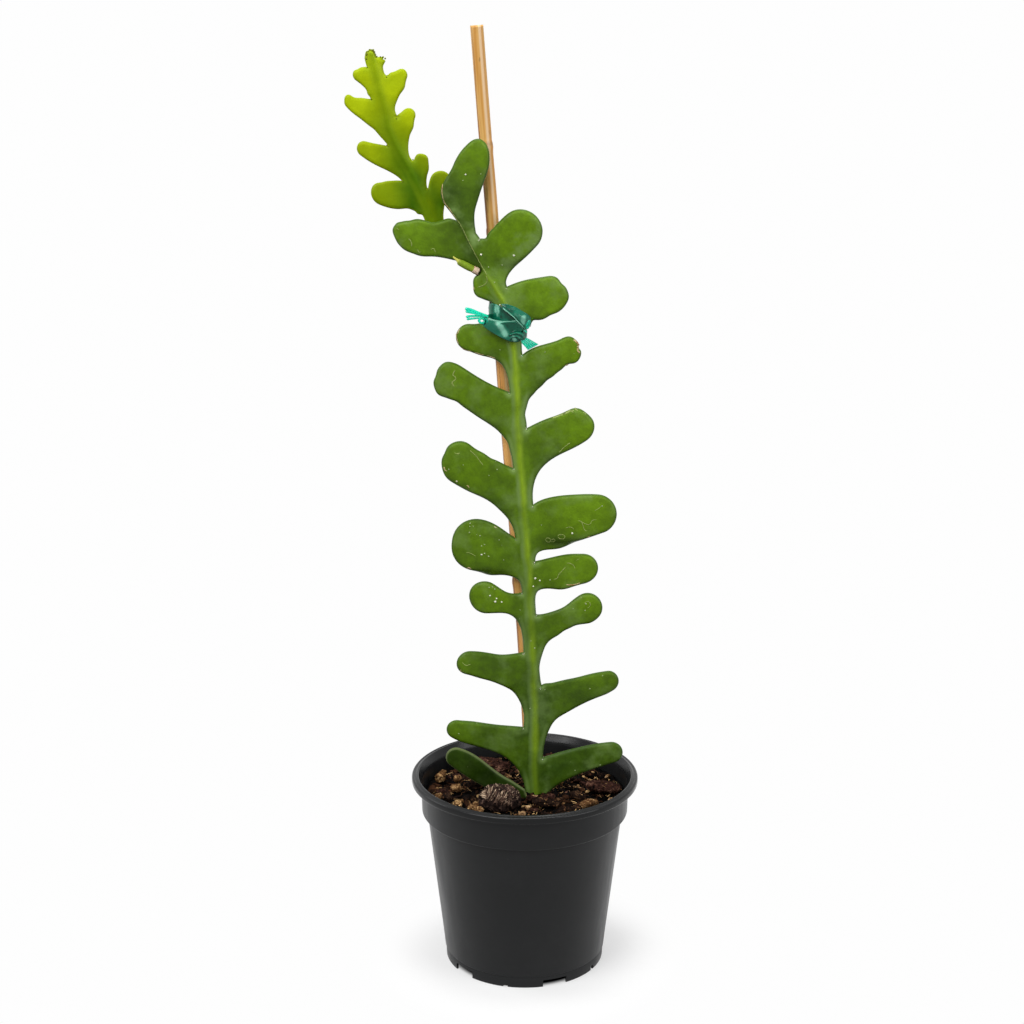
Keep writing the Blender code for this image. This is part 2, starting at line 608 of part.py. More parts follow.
def build_young_shoot():
    material = make_material("young_stem", (0.24, 0.38, 0.018), 0.42)
    rib = [Vector(point) for point in SHOOT_RIB]
    left = side_outline(SHOOT_LEFT, SHOOT_NECK[-1], 3, rib)
    right = side_outline(SHOOT_RIGHT, SHOOT_RIGHT_FOOT, 3, rib)
    loop = SHOOT_NECK + left[::-1] + SHOOT_BUD + right + [SHOOT_RIGHT_FOOT]

    def depth(x, z):
        return SHOOT_DEPTH + 0.4 * math.sin(0.05 * (z - 390))

    return blade("young_shoot", loop, rib, blade_thickness(SHOOT_LOBE_HALF, SHOOT_RIB_HALF, 2.6),
                 depth, 5.5, material)


def build_basal_shoot():
    material = make_material("basal_stem", (0.055, 0.125, 0.024), 0.42)
    loop = lobe_outline(BASAL_LOBE, BASAL_NECK[0], Vector((-0.93, 0.37)), 5) + BASAL_NECK
    return blade("basal_shoot", loop, BASAL_RIB, blade_thickness(1.9, 2.2, 6.0),
                 lambda x, z: BASAL_DEPTH, 5.0, material)


def ring_points(centre, across, up, radius, count):
    return [centre + radius * (math.cos(2 * math.pi * i / count) * across
                               + math.sin(2 * math.pi * i / count) * up) for i in range(count)]


def tube(route, radii, count):
    """A round bar along a route in space, with one radius for each point."""
    rings = []
    for i, point in enumerate(route):
        ahead = route[min(i + 1, len(route) - 1)]
        behind = route[max(i - 1, 0)]
        along = (ahead - behind).normalized()
        across = along.orthogonal().normalized() if i == 0 else None
        if across is None:
            across = (last_across - along * last_across.dot(along)).normalized()
        last_across = across
        rings.append(ring_points(point, across, along.cross(across), radii[i], count))
    return swept(rings)


def cane_radii(route):
    radii = []
    for point in route:
        ring = sum(math.exp(-(((point.z - height) / 2.2) ** 2)) for height in CANE_NODES)
        radii.append(CANE_RADIUS + 0.35 * ring)
    return radii


def cane_route():
    """The cane's middle line, with close points round each node ring."""
    heights = [9.0, 60.0, 93.0, 160.0, 250.0, 340.0, 410.0, 460.0, 489.0]
    for node in CANE_NODES:
        heights += [node - 4.0, node - 1.6, node, node + 1.6, node + 4.0]
    smooth = smooth_route(CANE_ROUTE, 4.0)
    route = []
    for height in sorted(heights):
        above = next((i for i, point in enumerate(smooth) if point.z >= height), len(smooth) - 1)
        above = max(above, 1)
        a, b = smooth[above - 1], smooth[above]
        route.append(a.lerp(b, (height - a.z) / (b.z - a.z)))
    return route


def build_cane():
    material = make_material("bamboo", (0.52, 0.27, 0.085), 0.38)
    route = cane_route()
    return make_object("bamboo_cane", tube(route, cane_radii(route), 12), material, 50)


def build_cut_stub():
    """The short round stub of a removed shoot, hanging by its neck under the back wing."""
    material = make_material("stub_stem", (0.22, 0.42, 0.03), 0.4)
    return make_object("cut_stub", tube(STUB_ROUTE, STUB_RADII, 14), material, 50)


# ---------------------------------------------------------------- tie

TIE_MIDDLE = (-7.6, 3.5)
TIE_HALF_WIDTH = 11.2
TIE_HALF_DEPTH = 8.3


def tie_band(level, slope, heights, swell, count=28):
    """A flat strip round the stem and the cane. heights are at the left, in the middle and at the right."""
    rings = []
    for i in range(count):
        angle = 2 * math.pi * i / count
        c, s = math.cos(angle), math.sin(angle)
        x = math.copysign(abs(c) ** 0.8, c)
        y = math.copysign(abs(s) ** 0.8, s)
        left, middle, right = heights
        tall = middle + (right - middle) * max(x, 0.0) + (left - middle) * max(-x, 0.0)
        z = level - slope * x * TIE_HALF_WIDTH
        section = []
        for out, up in ((0.7, -0.5), (0.7, 0.5), (0.0, 0.5), (0.0, -0.5)):
            section.append(Vector((TIE_MIDDLE[0] + x * (TIE_HALF_WIDTH + swell + out),
                                   TIE_MIDDLE[1] + y * (TIE_HALF_DEPTH + swell + out), z + up * tall)))
        rings.append(section)
    bm = bmesh.new()
    loops = [[bm.verts.new(point) for point in ring] for ring in rings]
    for low, high in zip(loops, loops[1:] + loops[:1]):
        for k in range(4):
            bm.faces.new((low[k], low[(k + 1) % 4], high[(k + 1) % 4], high[k]))
    return make_object("band", bm)


def tie_tail(start, end, start_width, end_width, thick=0.9):
    """A flat strip end that widens from the knot."""
    start, end = Vector(start), Vector(end)
    across = (end - start).cross(Vector((0, 1, 0))).normalized()
    deep = Vector((0, 1, 0))
    rings = []
    for point, width in ((start, start_width), (end, end_width)):
        rings.append([point + a * width / 2 * across + b * thick / 2 * deep
                      for a, b in ((-1, -1), (1, -1), (1, 1), (-1, 1))])
    return make_object("tail", swept(rings))


def tie_knot(centre, size):
    bm = bmesh.new()
    matrix = Matrix.Translation(centre) @ Matrix.Diagonal((*size, 1))
    bmesh.ops.create_icosphere(bm, subdivisions=1, radius=1.0, matrix=matrix)
    return make_object("knot", bm)


def build_tie(stem, cane):
    material = make_material("teal_tape", (0.012, 0.20, 0.145), 0.22)
    tie = tie_band(347.3, 0.29, (6.0, 10.5, 6.5), 0.0)
    tie.name = "plastic_tie"
    parts = [
        tie_band(341.6, 0.43, (5.0, 9.5, 8.0), 0.45),
        tie_knot((-20.6, -2.6, 346.4), (2.8, 2.6, 2.4)),
        tie_knot((-0.6, -4.6, 338.2), (3.4, 2.4, 3.2)),
        tie_tail((-20.4, -3.0, 347.2), (-31.6, -5.0, 351.2), 2.2, 4.0),
        tie_tail((-20.4, -2.6, 346.2), (-31.2, -1.4, 347.4), 1.8, 3.0),
        tie_tail((0.6, 3.6, 341.0), (6.2, 4.8, 332.6), 2.4, 7.0),
    ]
    for part in parts:
        combine(tie, part, "UNION")
    combine(tie, swollen_copy(stem, GAP), "DIFFERENCE")
    combine(tie, swollen_copy(cane, GAP), "DIFFERENCE")
    tie.data.materials.clear()
    tie.data.materials.append(material)
    return tie


# ---------------------------------------------------------------- loose pieces

def loose_piece(name, length, width, height, turn, tilt, material):
    """A rough convex lump: a faceted ball, knocked about and stretched to its sizes."""
    rng = random.Random(name)
    ball = bmesh.new()
    bmesh.ops.create_icosphere(ball, subdivisions=2, radius=1.0)
    bm = bmesh.new()
    for vert in ball.verts:
        squared = Vector([math.copysign(abs(value) ** 0.75, value) for value in vert.co])
        bm.verts.new(squared * (1.0 + rng.uniform(-0.14, 0.06)))
    ball.free()
    hull = bmesh.ops.convex_hull(bm, input=bm.verts)
    loose = [item for item in hull["geom_interior"] if isinstance(item, bmesh.types.BMVert)]
    bmesh.ops.delete(bm, geom=loose, context="VERTS")
    lows = [min(vert.co[k] for vert in bm.verts) for k in range(3)]
    highs = [max(vert.co[k] for vert in bm.verts) for k in range(3)]
    for vert in bm.verts:
        for k, size in enumerate((length, width, height)):
            vert.co[k] = ((vert.co[k] - lows[k]) / (highs[k] - lows[k]) - 0.5) * size
    matrix = Matrix.Rotation(math.radians(turn), 4, "Z") @ Matrix.Rotation(math.radians(tilt), 4, "Y")
    bmesh.ops.transform(bm, matrix=matrix, verts=bm.verts)
    return make_object(name, bm, material, 35)


def surface(item):
    bm = bmesh.new()
    bm.from_mesh(item.data)
    bm.transform(Matrix.Translation(item.location))
    tree = BVHTree.FromBMesh(bm)
    points = [vert.co.copy() for vert in bm.verts]
    bm.free()
    return tree, points


def clear_drop(points, tree, other_tree, other_points):
    """How far a piece can fall before it meets another, in metres."""
    drop = 1.0
    for point in points:
        hit = other_tree.ray_cast(point, Vector((0, 0, -1)))
        if hit[0] is not None:
            drop = min(drop, hit[3])
    for point in other_points:
        hit = tree.ray_cast(point, Vector((0, 0, 1)))
        if hit[0] is not None:
            drop = min(drop, hit[3])
    return drop


def settle(item, x, y, sink, soil, others):
    """Lowers a piece on to whatever lies under it, to the usual gap, or presses it into the mix."""
    item.location = Vector((x, y, 200.0)) * MM
    tree, points = surface(item)
    points += [(points[edge.vertices[0]] + points[edge.vertices[1]]) / 2 for edge in item.data.edges]
    drop = clear_drop(points, tree, *soil) + (sink - GAP) * MM
    for other in others:
        drop = min(drop, clear_drop(points, tree, *other) - GAP * MM)
    item.location.z -= drop


def build_loose_pieces(soil):
    materials = {}
    for colour in LOOSE_COLOURS:
        materials[colour] = make_material(colour, LOOSE_COLOURS[colour], 0.85)
    ground = surface(soil)
    placed = []
    pressed = []
    for name, x, y, length, width, height, turn, tilt, sink, colour in LOOSE_PIECES:
        piece = loose_piece(name, length, width, height, turn, tilt, materials[colour])
        settle(piece, x, y, sink, ground, placed)
        placed.append(surface(piece))
        if sink > 0:
            pressed.append(piece)
    return pressed


def build():
    clear_scene()
    build_pot()
    soil = build_soil()
    pressed = build_loose_pieces(soil)
    stem = build_main_stem()
    basal = build_basal_shoot()
    cane = build_cane()
    build_young_shoot()
    build_cut_stub()
    build_tie(stem, cane)
    for buried in [stem, basal, cane] + pressed:
        combine(soil, swollen_copy(buried, GAP), "DIFFERENCE")


build()
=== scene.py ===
"""Looks of a potted fishbone cactus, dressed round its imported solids.

Lengths are in millimetres until an object is made. +X is the plant's right, -Y its front and +Z up, and
the origin is the middle of the pot's underside, as in the solids.
"""

import math
import random

import bmesh
import bpy
import numpy as np
from mathutils import Matrix, Vector
from mathutils.bvhtree import BVHTree
from mathutils.geometry import delaunay_2d_cdt
from mathutils.noise import noise


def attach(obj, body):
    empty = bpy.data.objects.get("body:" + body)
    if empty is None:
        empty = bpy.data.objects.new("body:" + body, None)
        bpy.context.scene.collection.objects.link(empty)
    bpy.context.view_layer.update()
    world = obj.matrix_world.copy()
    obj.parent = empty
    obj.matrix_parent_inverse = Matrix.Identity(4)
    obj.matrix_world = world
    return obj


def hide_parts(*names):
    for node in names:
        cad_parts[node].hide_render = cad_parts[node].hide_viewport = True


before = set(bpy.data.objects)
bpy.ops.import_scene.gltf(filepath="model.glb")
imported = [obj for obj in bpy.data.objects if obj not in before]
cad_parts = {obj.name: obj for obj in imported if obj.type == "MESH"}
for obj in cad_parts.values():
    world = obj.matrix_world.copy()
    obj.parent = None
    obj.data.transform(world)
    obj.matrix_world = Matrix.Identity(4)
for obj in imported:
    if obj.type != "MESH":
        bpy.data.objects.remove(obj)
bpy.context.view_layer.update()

MM = 0.001

# Pot
POT_SEGMENTS = 160
RIM_RADIUS = 60.0
RIM_TOP = 104.0
LIP_UNDERSIDE = 100.0
COLLAR_RADIUS_TOP = 55.3
COLLAR_RADIUS_FOOT = 54.6
COLLAR_FOOT = 83.5
BODY_RADIUS_TOP = 51.9
BODY_RADIUS_FOOT = 42.9
FOOT_RADIUS = 42.3
FOOT_HEIGHT = 5.9
WALL = 1.2
PAD_RADIUS = 14.0
FOOT_NOTCHES = 5
NOTCH_TURN = 22.0
NOTCH_WIDTH_DEG = 18.0
NOTCH_HEIGHT = 3.9
SLOT_SIZE = 2.5
SHALLOW_SLOT = 4
SHALLOW_HEIGHT = 0.9
DRAIN_RADIUS = 4.0
DRAIN_CIRCLE = 30.0

# Potting mix
SOIL_LEVEL = 93.0
SOIL_RADIUS = 53.1
SOIL_SEGMENTS = 288
SOIL_RINGS = 76
CRUMBS = 1150
CHIPS = 170
SPLINTERS = 70
FIBRES = 260
FIBRE_POINTS = 6
FIBRE_STRIDE = 1.1
SMALL_BARK = 330
HUSK_TUFTS = 16
HUSK_ROWS = 11
HUSK_COLUMNS = 17
HUSK_NODULES = 150
DOME_NODULES = 260

# Cane
CANE_RADIUS = 3.2
CANE_SIDES = 40
NODE_RING = 0.34
NODE_WAIST = 0.12
CANE_ROUTE = [
    (6.5, 10.0, 9.0), (3.5, 9.6, 93.0), (-0.6, 9.2, 172.0), (-3.1, 8.9, 205.0),
    (-5.4, 8.6, 240.0), (-11.6, 7.7, 320.0), (-16.6, 7.4, 395.0), (-20.3, 7.2, 440.0), (-23.9, 7.0, 488.95),
]
CANE_NODES = [118.0, 207.0, 296.0, 389.0, 431.0]

# Stems
OUTLINE_STEP = 0.6
FILL_STEP = 1.5
EDGE_ROUND = 1.6
MARGIN_ROWS = (0.22, 0.6, 1.15, 1.9)
RIB_FADE = (358.0, 374.0)
LOBE_CURL = 0.02
LOBE_SPREAD = 7.0
TIP_GLOW = 0.24
CREST_WIDTH = 0.95
OUTLINE_GAP = 0.18
POINT_GAP = 0.42
DOT_SIDES = 10
FLECK_RADIUS = 0.45
SCAR_STEP = 0.4
SCAR_SECTION = [(-1.0, -0.4), (-0.55, 0.7), (0.0, 1.0), (0.55, 0.7), (1.0, -0.4), (0.5, -1.4), (-0.5, -1.4)]
# Skins: name, deep, bright, rib, shoulder and rim as colours, share of bloom, gloss and patchiness
STEM_LOOKS = [
    ("mature_stem", ((40, 64, 16), (106, 142, 20), (148, 182, 42), (134, 164, 92), (46, 76, 8)), 0.38, 0.15),
    ("young_stem", ((62, 106, 0), (186, 206, 10), (104, 142, 4), (140, 172, 26), (150, 168, 10)), 0.15, 0.09,
     0.3),
    ("basal_stem", ((14, 30, 0), (58, 84, 16), (74, 102, 30), (90, 112, 60), (112, 124, 78)), 0.15, 0.09),
    ("stub_stem", ((98, 146, 0), (206, 204, 96), (150, 180, 70), (150, 176, 80), (130, 130, 60)), 0.05, 0.1),
]


class Lobe:
    """One rounded tooth of a flat stem.

    axil is the notch above it, tip and radius its round end. rise, crown and belly are slopes in degrees,
    measured up from straight outward: of the upper edge at the notch, and of the upper and lower edges
    where they meet the round end. reach and web are how far the lower edge runs on straight from the
    round end and, at its lower end, along the stem. lean is how far the tip stands behind the blade, and
    tone how far its skin goes from deep to bright green, painted shade included: lobes lower down are
    painted darker where less light falls on them.
    """

    def __init__(self, side, axil, tip, radius, rise, crown, belly, reach, web, lean=0.0, tone=0.3):
        self.side = side
        self.axil = Vector(axil)
        self.tip = Vector(tip)
        self.radius = radius
        self.rise = math.radians(rise)
        self.crown = math.radians(crown)
        self.belly = math.radians(belly)
        self.reach = reach
        self.web = web
        self.lean = lean
        self.tone = tone

    def outward(self, angle):
        return Vector((self.side * math.cos(angle), math.sin(angle)))

    def upper_end(self):
        return self.tip + self.radius * Vector((-self.side * math.sin(self.crown), math.cos(self.crown)))

    def lower_end(self):
        return self.tip + self.radius * Vector((self.side * math.sin(self.belly), -math.cos(self.belly)))


# Main stem, from the soil up, in the plane of the blade (x, z)
# The tones, last in each row, rise towards the top: painted shade darkens the lower lobes.
RIGHT_LOBES = [Lobe(1, *row) for row in (
    ((9.7, 112.5), (46, 116.2), 5.8, 18, 8, 20, 20, 9, -2, 0.04),
    ((8.5, 152.4), (43.9, 154.2), 5.5, 16, 6, 27, 20, 24, 2.5, 0.40),
    ((6.1, 192.1), (32, 195.2), 8.2, 0, 30, 2, 19, 25, -2, 0.56),
    ((5.1, 220.5), (29.5, 216.2), 8.4, 14, 0, 8, 27, 17, 2, 0.74),
    ((4, 250.7), (37.1, 246.2), 9.9, 34, 0, 20, 30, 10, -3, 0.78),
    ((0.8, 291), (26.2, 292.3), 9, 28, 20, 32, 18, 23, 2, 0.82),
    ((-1.5, 328.7), (20.8, 330.2), 7.2, 42, 24, 28, 17, 26, -1.5, 0.77),
    ((-9.3, 362.7), (12.6, 359.8), 8.1, 24, 10, 34, 12, 13, 2, 0.86),
    ((-22.6, 386.8), (-1.4, 391), 9.5, 24, 40, 42, 15, 5, -2.5, 0.92),
)]
LEFT_LOBES = [Lobe(-1, *row) for row in (
    ((-0.6, 129.4), (-36, 127.6), 5.5, 0, 6, 34, 15, 32, 1.5, 0.32),
    ((-0.8, 171.3), (-29.1, 165.2), 6.6, -12, 4, 12, 18, 24, -2.5, 0.36),
    ((-1.8, 204.1), (-20.4, 201.2), 8.2, -12, 26, -2, 12, 23, 2, 0.70),
    ((-5, 233.1), (-24.6, 229.6), 13.4, 34, 8, 13, 22, 10, -3, 0.44),
    ((-6.3, 270.2), (-32.4, 273.5), 10.3, 20, 32, 28, 17, 17, 2.5, 0.66),
    ((-8.1, 309.6), (-37.6, 316), 8.9, 22, 30, 26, 20, 22, -2.5, 0.66),
    ((-13.4, 347.6), (-28.2, 337.4), 6.7, -20, 4, 12, 16, 16, 1, 0.78),
    ((-22, 370.8), (-21.4, 361.6), 4.6, -50, -80, 20, 4, 2, 0, 0.95),
)]
TERMINAL_OUTLINE = [
    (-22, 370.8), (-23.7, 375.6), (-28.4, 384.5), (-32.8, 393.6), (-36.4, 398.9), (-40.4, 404.1),
    (-41.6, 407.5), (-41.7, 410.4), (-40.7, 413.8), (-36.5, 420.5), (-33.9, 425.2), (-30.1, 430.8),
    (-26.4, 434.4), (-23, 435.4), (-20.4, 434.3), (-18.5, 432.3), (-17.2, 429.3), (-17, 426),
    (-17.7, 422.3), (-19.4, 417.5), (-21.6, 411.6), (-23.5, 406.8), (-25, 402.6), (-25.5, 398.9),
    (-25.2, 394), (-24.6, 389.6),
]
TERMINAL_LOBE = Lobe(1, (-24.6, 389.6), (-23.2, 428.4), 6.3, 0, 0, 0, 0, 0, 0, 0.24)
STEM_RIB = [(5.5, 72), (5.4, 138), (3.7, 172), (2.3, 215), (-0.9, 253), (-3.4, 291), (-5.7, 331),
            (-7.9, 345), (-10.8, 355), (-15, 362), (-21, 371.5), (-30.6, 389), (-36, 397.6)]
STEM_CORE_FOOT = [(11.6, 88), (9.6, 72), (5.6, 68), (1.8, 72), (0.6, 88)]
BACK_WING = Lobe(-1, (-29, 394.5), (-57.6, 388.1), 7.7, 10, 4, 14, 17, 16, 0, 0.35)
BACK_WING_RIB = [(-20, 376), (-27, 389)]
WING_FOOT = [(-24.6, 369.6), (-22.8, 367.8), (-18.5, 370), (-18.5, 374), (-21.5, 384)]

# Young shoot: left lobes, then right lobes, each from its foot up
SHOOT_LEFT = [Lobe(-1, *row) for row in (
    ((-61.3, 414.1), (-70.8, 409.2), 5.4, 8, -4, 16, 8, 4, 0, 0.85),
    ((-68.4, 431.5), (-79.3, 430.5), 3.5, 16, 0, 30, 8, 4, 0, 0.9),
    ((-75.9, 453.8), (-86.2, 453.3), 3.1, 4, 14, 44, 8, 4, 0, 0.85),
    ((-77.2, 468.9), (-81.1, 466), 2.8, 0, -10, 30, 4, 4, 0, 0.9),
)]
SHOOT_RIGHT = [Lobe(1, *row) for row in (
    ((-48.6, 410.3), (-42.3, 414.6), 5.2, 76, 68, 78, 5, 6, 0, 0.7),
    ((-55.7, 424.6), (-51.2, 424.8), 3.7, 62, 60, 80, 6, 3, 0, 0.6),
    ((-63.5, 444.4), (-57.7, 446.3), 3.7, 56, 46, 66, 6, 7, 0, 0.7),
    ((-68.1, 464.2), (-60.4, 465.6), 2.9, 38, 22, 60, 6, 6, 0, 1.3),
    ((-72.6, 474.1), (-70.1, 472.6), 1.9, 26, 14, 60, 1, 1, 0, 0.8),
)]
SHOOT_RIB = [(-44.8, 388), (-47.2, 398), (-56, 417.5), (-63, 430), (-66.8, 438.5), (-69.2, 450),
             (-72, 460), (-74, 470), (-74.8, 476)]
SHOOT_NECK = [(-40.6, 394), (-41.4, 390.6), (-43.2, 387.4), (-45.8, 386.8), (-48.2, 389), (-50.8, 396.6)]
SHOOT_BUD = [(-78, 473.4), (-77.6, 476.2), (-75.6, 477.6), (-73.6, 476.6)]
SHOOT_DEPTH = 9.1
BASAL_LOBE = Lobe(-1, (-7, 102), (-36.2, 115), 5.5, 26, 16, 40, 12, 14, 0, 0.15)
BASAL_FOOT = [(-5.4, 90.6), (-2.4, 85.2), (1.2, 85), (2.2, 89), (0, 97)]
BASAL_RIB = [(20, 60), (20, 80)]
BASAL_DEPTH = -6.6

# Bulges and hollows along the outlines: place (x, z), length along the margin and height
STEM_SWELLS = [
    (-20.7, 388.6, 1.7, -1.3),
    (-35.4, 133.1, 6, -0.5), (-9.6, 129.8, 11, 0.5), (-1, 137, 6, -0.5), (-11.8, 153.4, 6, 0.5),
    (-31.2, 158.9, 6, -1.1), (-27.2, 171.7, 11, 0.6), (-1.8, 184, 7, -0.3), (-20.1, 193, 11, 1),
    (-27.1, 205.9, 6, 0.5), (-8.7, 204.7, 6, -1), (-18.9, 214.7, 6, 1.2), (-31, 241.3, 11, 1.1),
    (-12.4, 248.9, 11, 1), (-29.2, 260.2, 11, 2.5), (-38.7, 265.3, 6, 1), (-41.8, 277.6, 3, -0.7),
    (-25.2, 281.1, 6, -1.1), (-17.4, 275.9, 3, -0.6), (-22.6, 297.8, 11, 1.6), (-35, 304.8, 3, -0.6),
    (-43.5, 309.4, 3, 0.6), (-46, 318.8, 3, -1), (-39.8, 324.6, 3, 0.7), (-22.8, 317.4, 11, -0.6),
    (-22.2, 329.1, 6, 1), (-18.4, 354.1, 3, -0.9), (-24.7, 366.5, 3, 1.2),
    (-9.4, 396.6, 11, 1.7), (-0.1, 379.2, 11, 1.2), (0.2, 365.8, 11, 0.4),
    (18.7, 365.2, 3, -1.1), (20.3, 357.4, 3, 0.8), (15.7, 352.1, 6, 2.2), (8.7, 347.6, 3, 0.9),
    (5, 344.7, 1.5, -1), (1.9, 341.6, 6, -1.1), (22.3, 337.2, 3, 0.7), (27.6, 332.6, 1.5, -0.9),
    (21.6, 322.5, 3, -1.3), (13.1, 318.6, 3, 0.8), (6.4, 314.3, 6, 2.4), (2.8, 309.3, 3, 0.8),
    (0.7, 298.3, 3, -0.7), (32.1, 299, 6, -1.3), (27.1, 282.4, 11, 0.8), (34.7, 256.1, 11, 1),
    (44.9, 240.1, 11, -0.4), (17, 229.9, 11, 2.4), (29.5, 224.6, 6, -0.5), (33.3, 208.7, 6, -0.4),
    (19.3, 206.6, 6, 1.3), (5.9, 200.5, 11, -0.5), (19.8, 197.1, 6, -0.8), (36.3, 202.2, 6, 0.6),
    (37.4, 189, 6, -0.8), (22.8, 185.7, 3, 0.6), (16.3, 182.5, 6, 2.1), (8.5, 163.3, 6, -0.8),
    (10.3, 152.9, 3, 0.8), (43.8, 148, 6, 0.8), (16.8, 132.5, 6, -1),
    (-12.9, 170.4, 6, -0.4), (-17.7, 214.5, 6, 0.5),
    (-37.7, 232.3, 6, -0.4), (-9.6, 283.6, 3, -0.5), (-17, 352.6, 3, -0.7), (-32.6, 427.3, 6, 0.5),
    (-17, 428.2, 6, -0.8), (-24.8, 403.2, 6, 0.5), (-0.4, 338, 3, -1.1), (17.2, 298.5, 6, -0.6),
    (7, 252.5, 6, 0.3), (18.1, 230.2, 6, 0.5), (26.9, 157.1, 6, -0.4),
]
WING_SWELLS = [
    (-52.5, 379, 6, 1.6), (-58.9, 380.5, 3, 0.5), (-64.9, 390.4, 3, 1.3),
    (-63.4, 393.2, 1.5, 0.5), (-57.6, 395.8, 3, -1), (-37.9, 395.4, 3, 0.9),
    (-61.3, 394.9, 3, -0.3), (-23.9, 387.3, 1.5, -0.5), (-46, 396.6, 4, -1.2), (-55, 396.8, 3, 0.4),
]
SHOOT_SWELLS = [
    (-53, 398.8, 1.5, 0.9), (-58.7, 400.9, 3, -0.7), (-67.2, 402.8, 11, 2), (-72.1, 414.5, 3, -1.1),
    (-75.7, 424.4, 11, 1.5), (-75.7, 433.6, 6, -1), (-74.9, 438.7, 3, -0.4), (-85.7, 448.6, 6, 0.7),
    (-89.2, 453.2, 2, -0.5), (-83.7, 455.8, 3, -1.2), (-76.8, 456.5, 1.5, 0.6), (-81.5, 462.9, 6, 1.1),
    (-82.4, 468.5, 1.5, -0.7), (-78, 473.4, 6, 0.7), (-68.5, 471.6, 1.5, 1), (-68.6, 470.1, 6, -1.2),
    (-65.8, 465.9, 1.5, 0.7), (-57.8, 466.9, 3, -0.5), (-60.4, 459.4, 3, 1), (-62, 446.7, 11, -0.6),
    (-56, 440.3, 3, 0.8), (-54.5, 426.5, 3, 1.1), (-53.6, 427.6, 11, -1.3),
    (-48.3, 420.2, 3, 0.7), (-43.2, 419.7, 6, -0.7),
    (-66.9, 414.7, 3, -0.4), (-74.1, 476.9, 3, -0.4), (-68.4, 473.4, 1, -0.8), (-68.1, 464.5, 1, 0.8),
    (-67.6, 464.6, 1.5, 0.7), (-63.4, 450, 3, -0.4), (-63.3, 444.7, 3, 1.5),
]
# Fine pale scars on the blades: width, then the places (x, z) they run through
PALE_SCARS = [
    (0.6, [(-35.75, 399), (-32.05, 393.7), (-27.65, 384.6), (-23.05, 375.8), (-19.15, 369.1)]),
    (0.4, [(-64.3, 391.1), (-62.8, 390.3)]),
    (0.5, [(-58.3, 386), (-56.9, 384.5), (-56.8, 382.2)]),
    (0.5, [(-53.9, 380.8), (-53, 379.4), (-52.1, 379.7)]),
    (0.45, [(-47.3, 380.8), (-45.7, 381.4), (-44.8, 379.4)]),
    (0.5, [(-19.6, 368.8), (-19, 366.7), (-19.9, 364.7), (-21.9, 363.4), (-23.9, 362.9)]),
    (0.6, [(-35.2, 321.4), (-36.4, 319.2), (-35, 317.1), (-36.8, 315.1), (-35.7, 313)]),
    (0.45, [(-28.2, 279.3), (-25.1, 276.6), (-23.6, 274.5), (-21.5, 271.7)]),
    (0.6, [(-36.2, 278), (-34.7, 277.4), (-33.3, 278)]),
    (0.7, [(13.3, 296.4), (16.6, 298.7), (20.8, 300.4), (24, 301.1), (26.7, 299.8)]),
    (0.5, [(19, 298.9), (22, 299.9), (24.5, 298.9)]),
    (0.5, [(30.3, 300.3), (32.6, 299.3)]),
    (0.6, [(17.1, 278.2), (19.6, 280.8), (22.9, 283.4)]),
    (0.45, [(10.4, 233), (11.4, 233.7), (12.7, 233.3), (13, 232.2),
           (12.5, 231.2), (11.2, 231.5), (10.4, 232.9)]),
    (0.45, [(13.1, 232.4), (14.7, 233.1), (15.3, 232.1), (14.3, 231.4), (13.3, 231.7)]),
    (0.45, [(16.6, 234.5), (17.7, 235.6), (19.4, 235.6), (20.4, 234.4),
           (19.4, 233.2), (17.7, 233.3), (16.7, 234.4)]),
    (0.35, [(20.6, 239.2), (22.3, 239.8), (24, 239.6), (25, 238.5)]),
    (0.5, [(26.9, 243.4), (28.8, 242.8), (29.6, 240.6), (30.5, 238.4), (31.8, 238.1)]),
    (0.4, [(28.8, 242.8), (31.7, 241.5), (33.4, 242.1), (34.3, 243.8), (36.4, 244.2)]),
    (0.35, [(35.4, 249), (37.2, 249.9), (38.7, 251.2)]),
    (0.45, [(14.8, 211.2), (16.6, 211.9), (17.5, 214), (19.5, 216.2), (20.9, 217.8)]),
    (0.45, [(21.4, 219.9), (23.4, 219.6), (25.1, 218.3), (25.8, 216.7)]),
    (0.35, [(26.3, 221), (28.1, 222.1)]),
    (0.4, [(28.3, 202.6), (29.6, 201)]),
    (0.35, [(-30.3, 226.1), (-29.3, 226.4), (-27, 225.4), (-25.4, 224.3)]),
    (0.4, [(30.6, 198.7), (32.6, 199.8), (33.9, 197.9), (32.4, 196)]),
    (0.4, [(-32.9, 167), (-30.8, 165.3), (-28.2, 165.9)]),
]
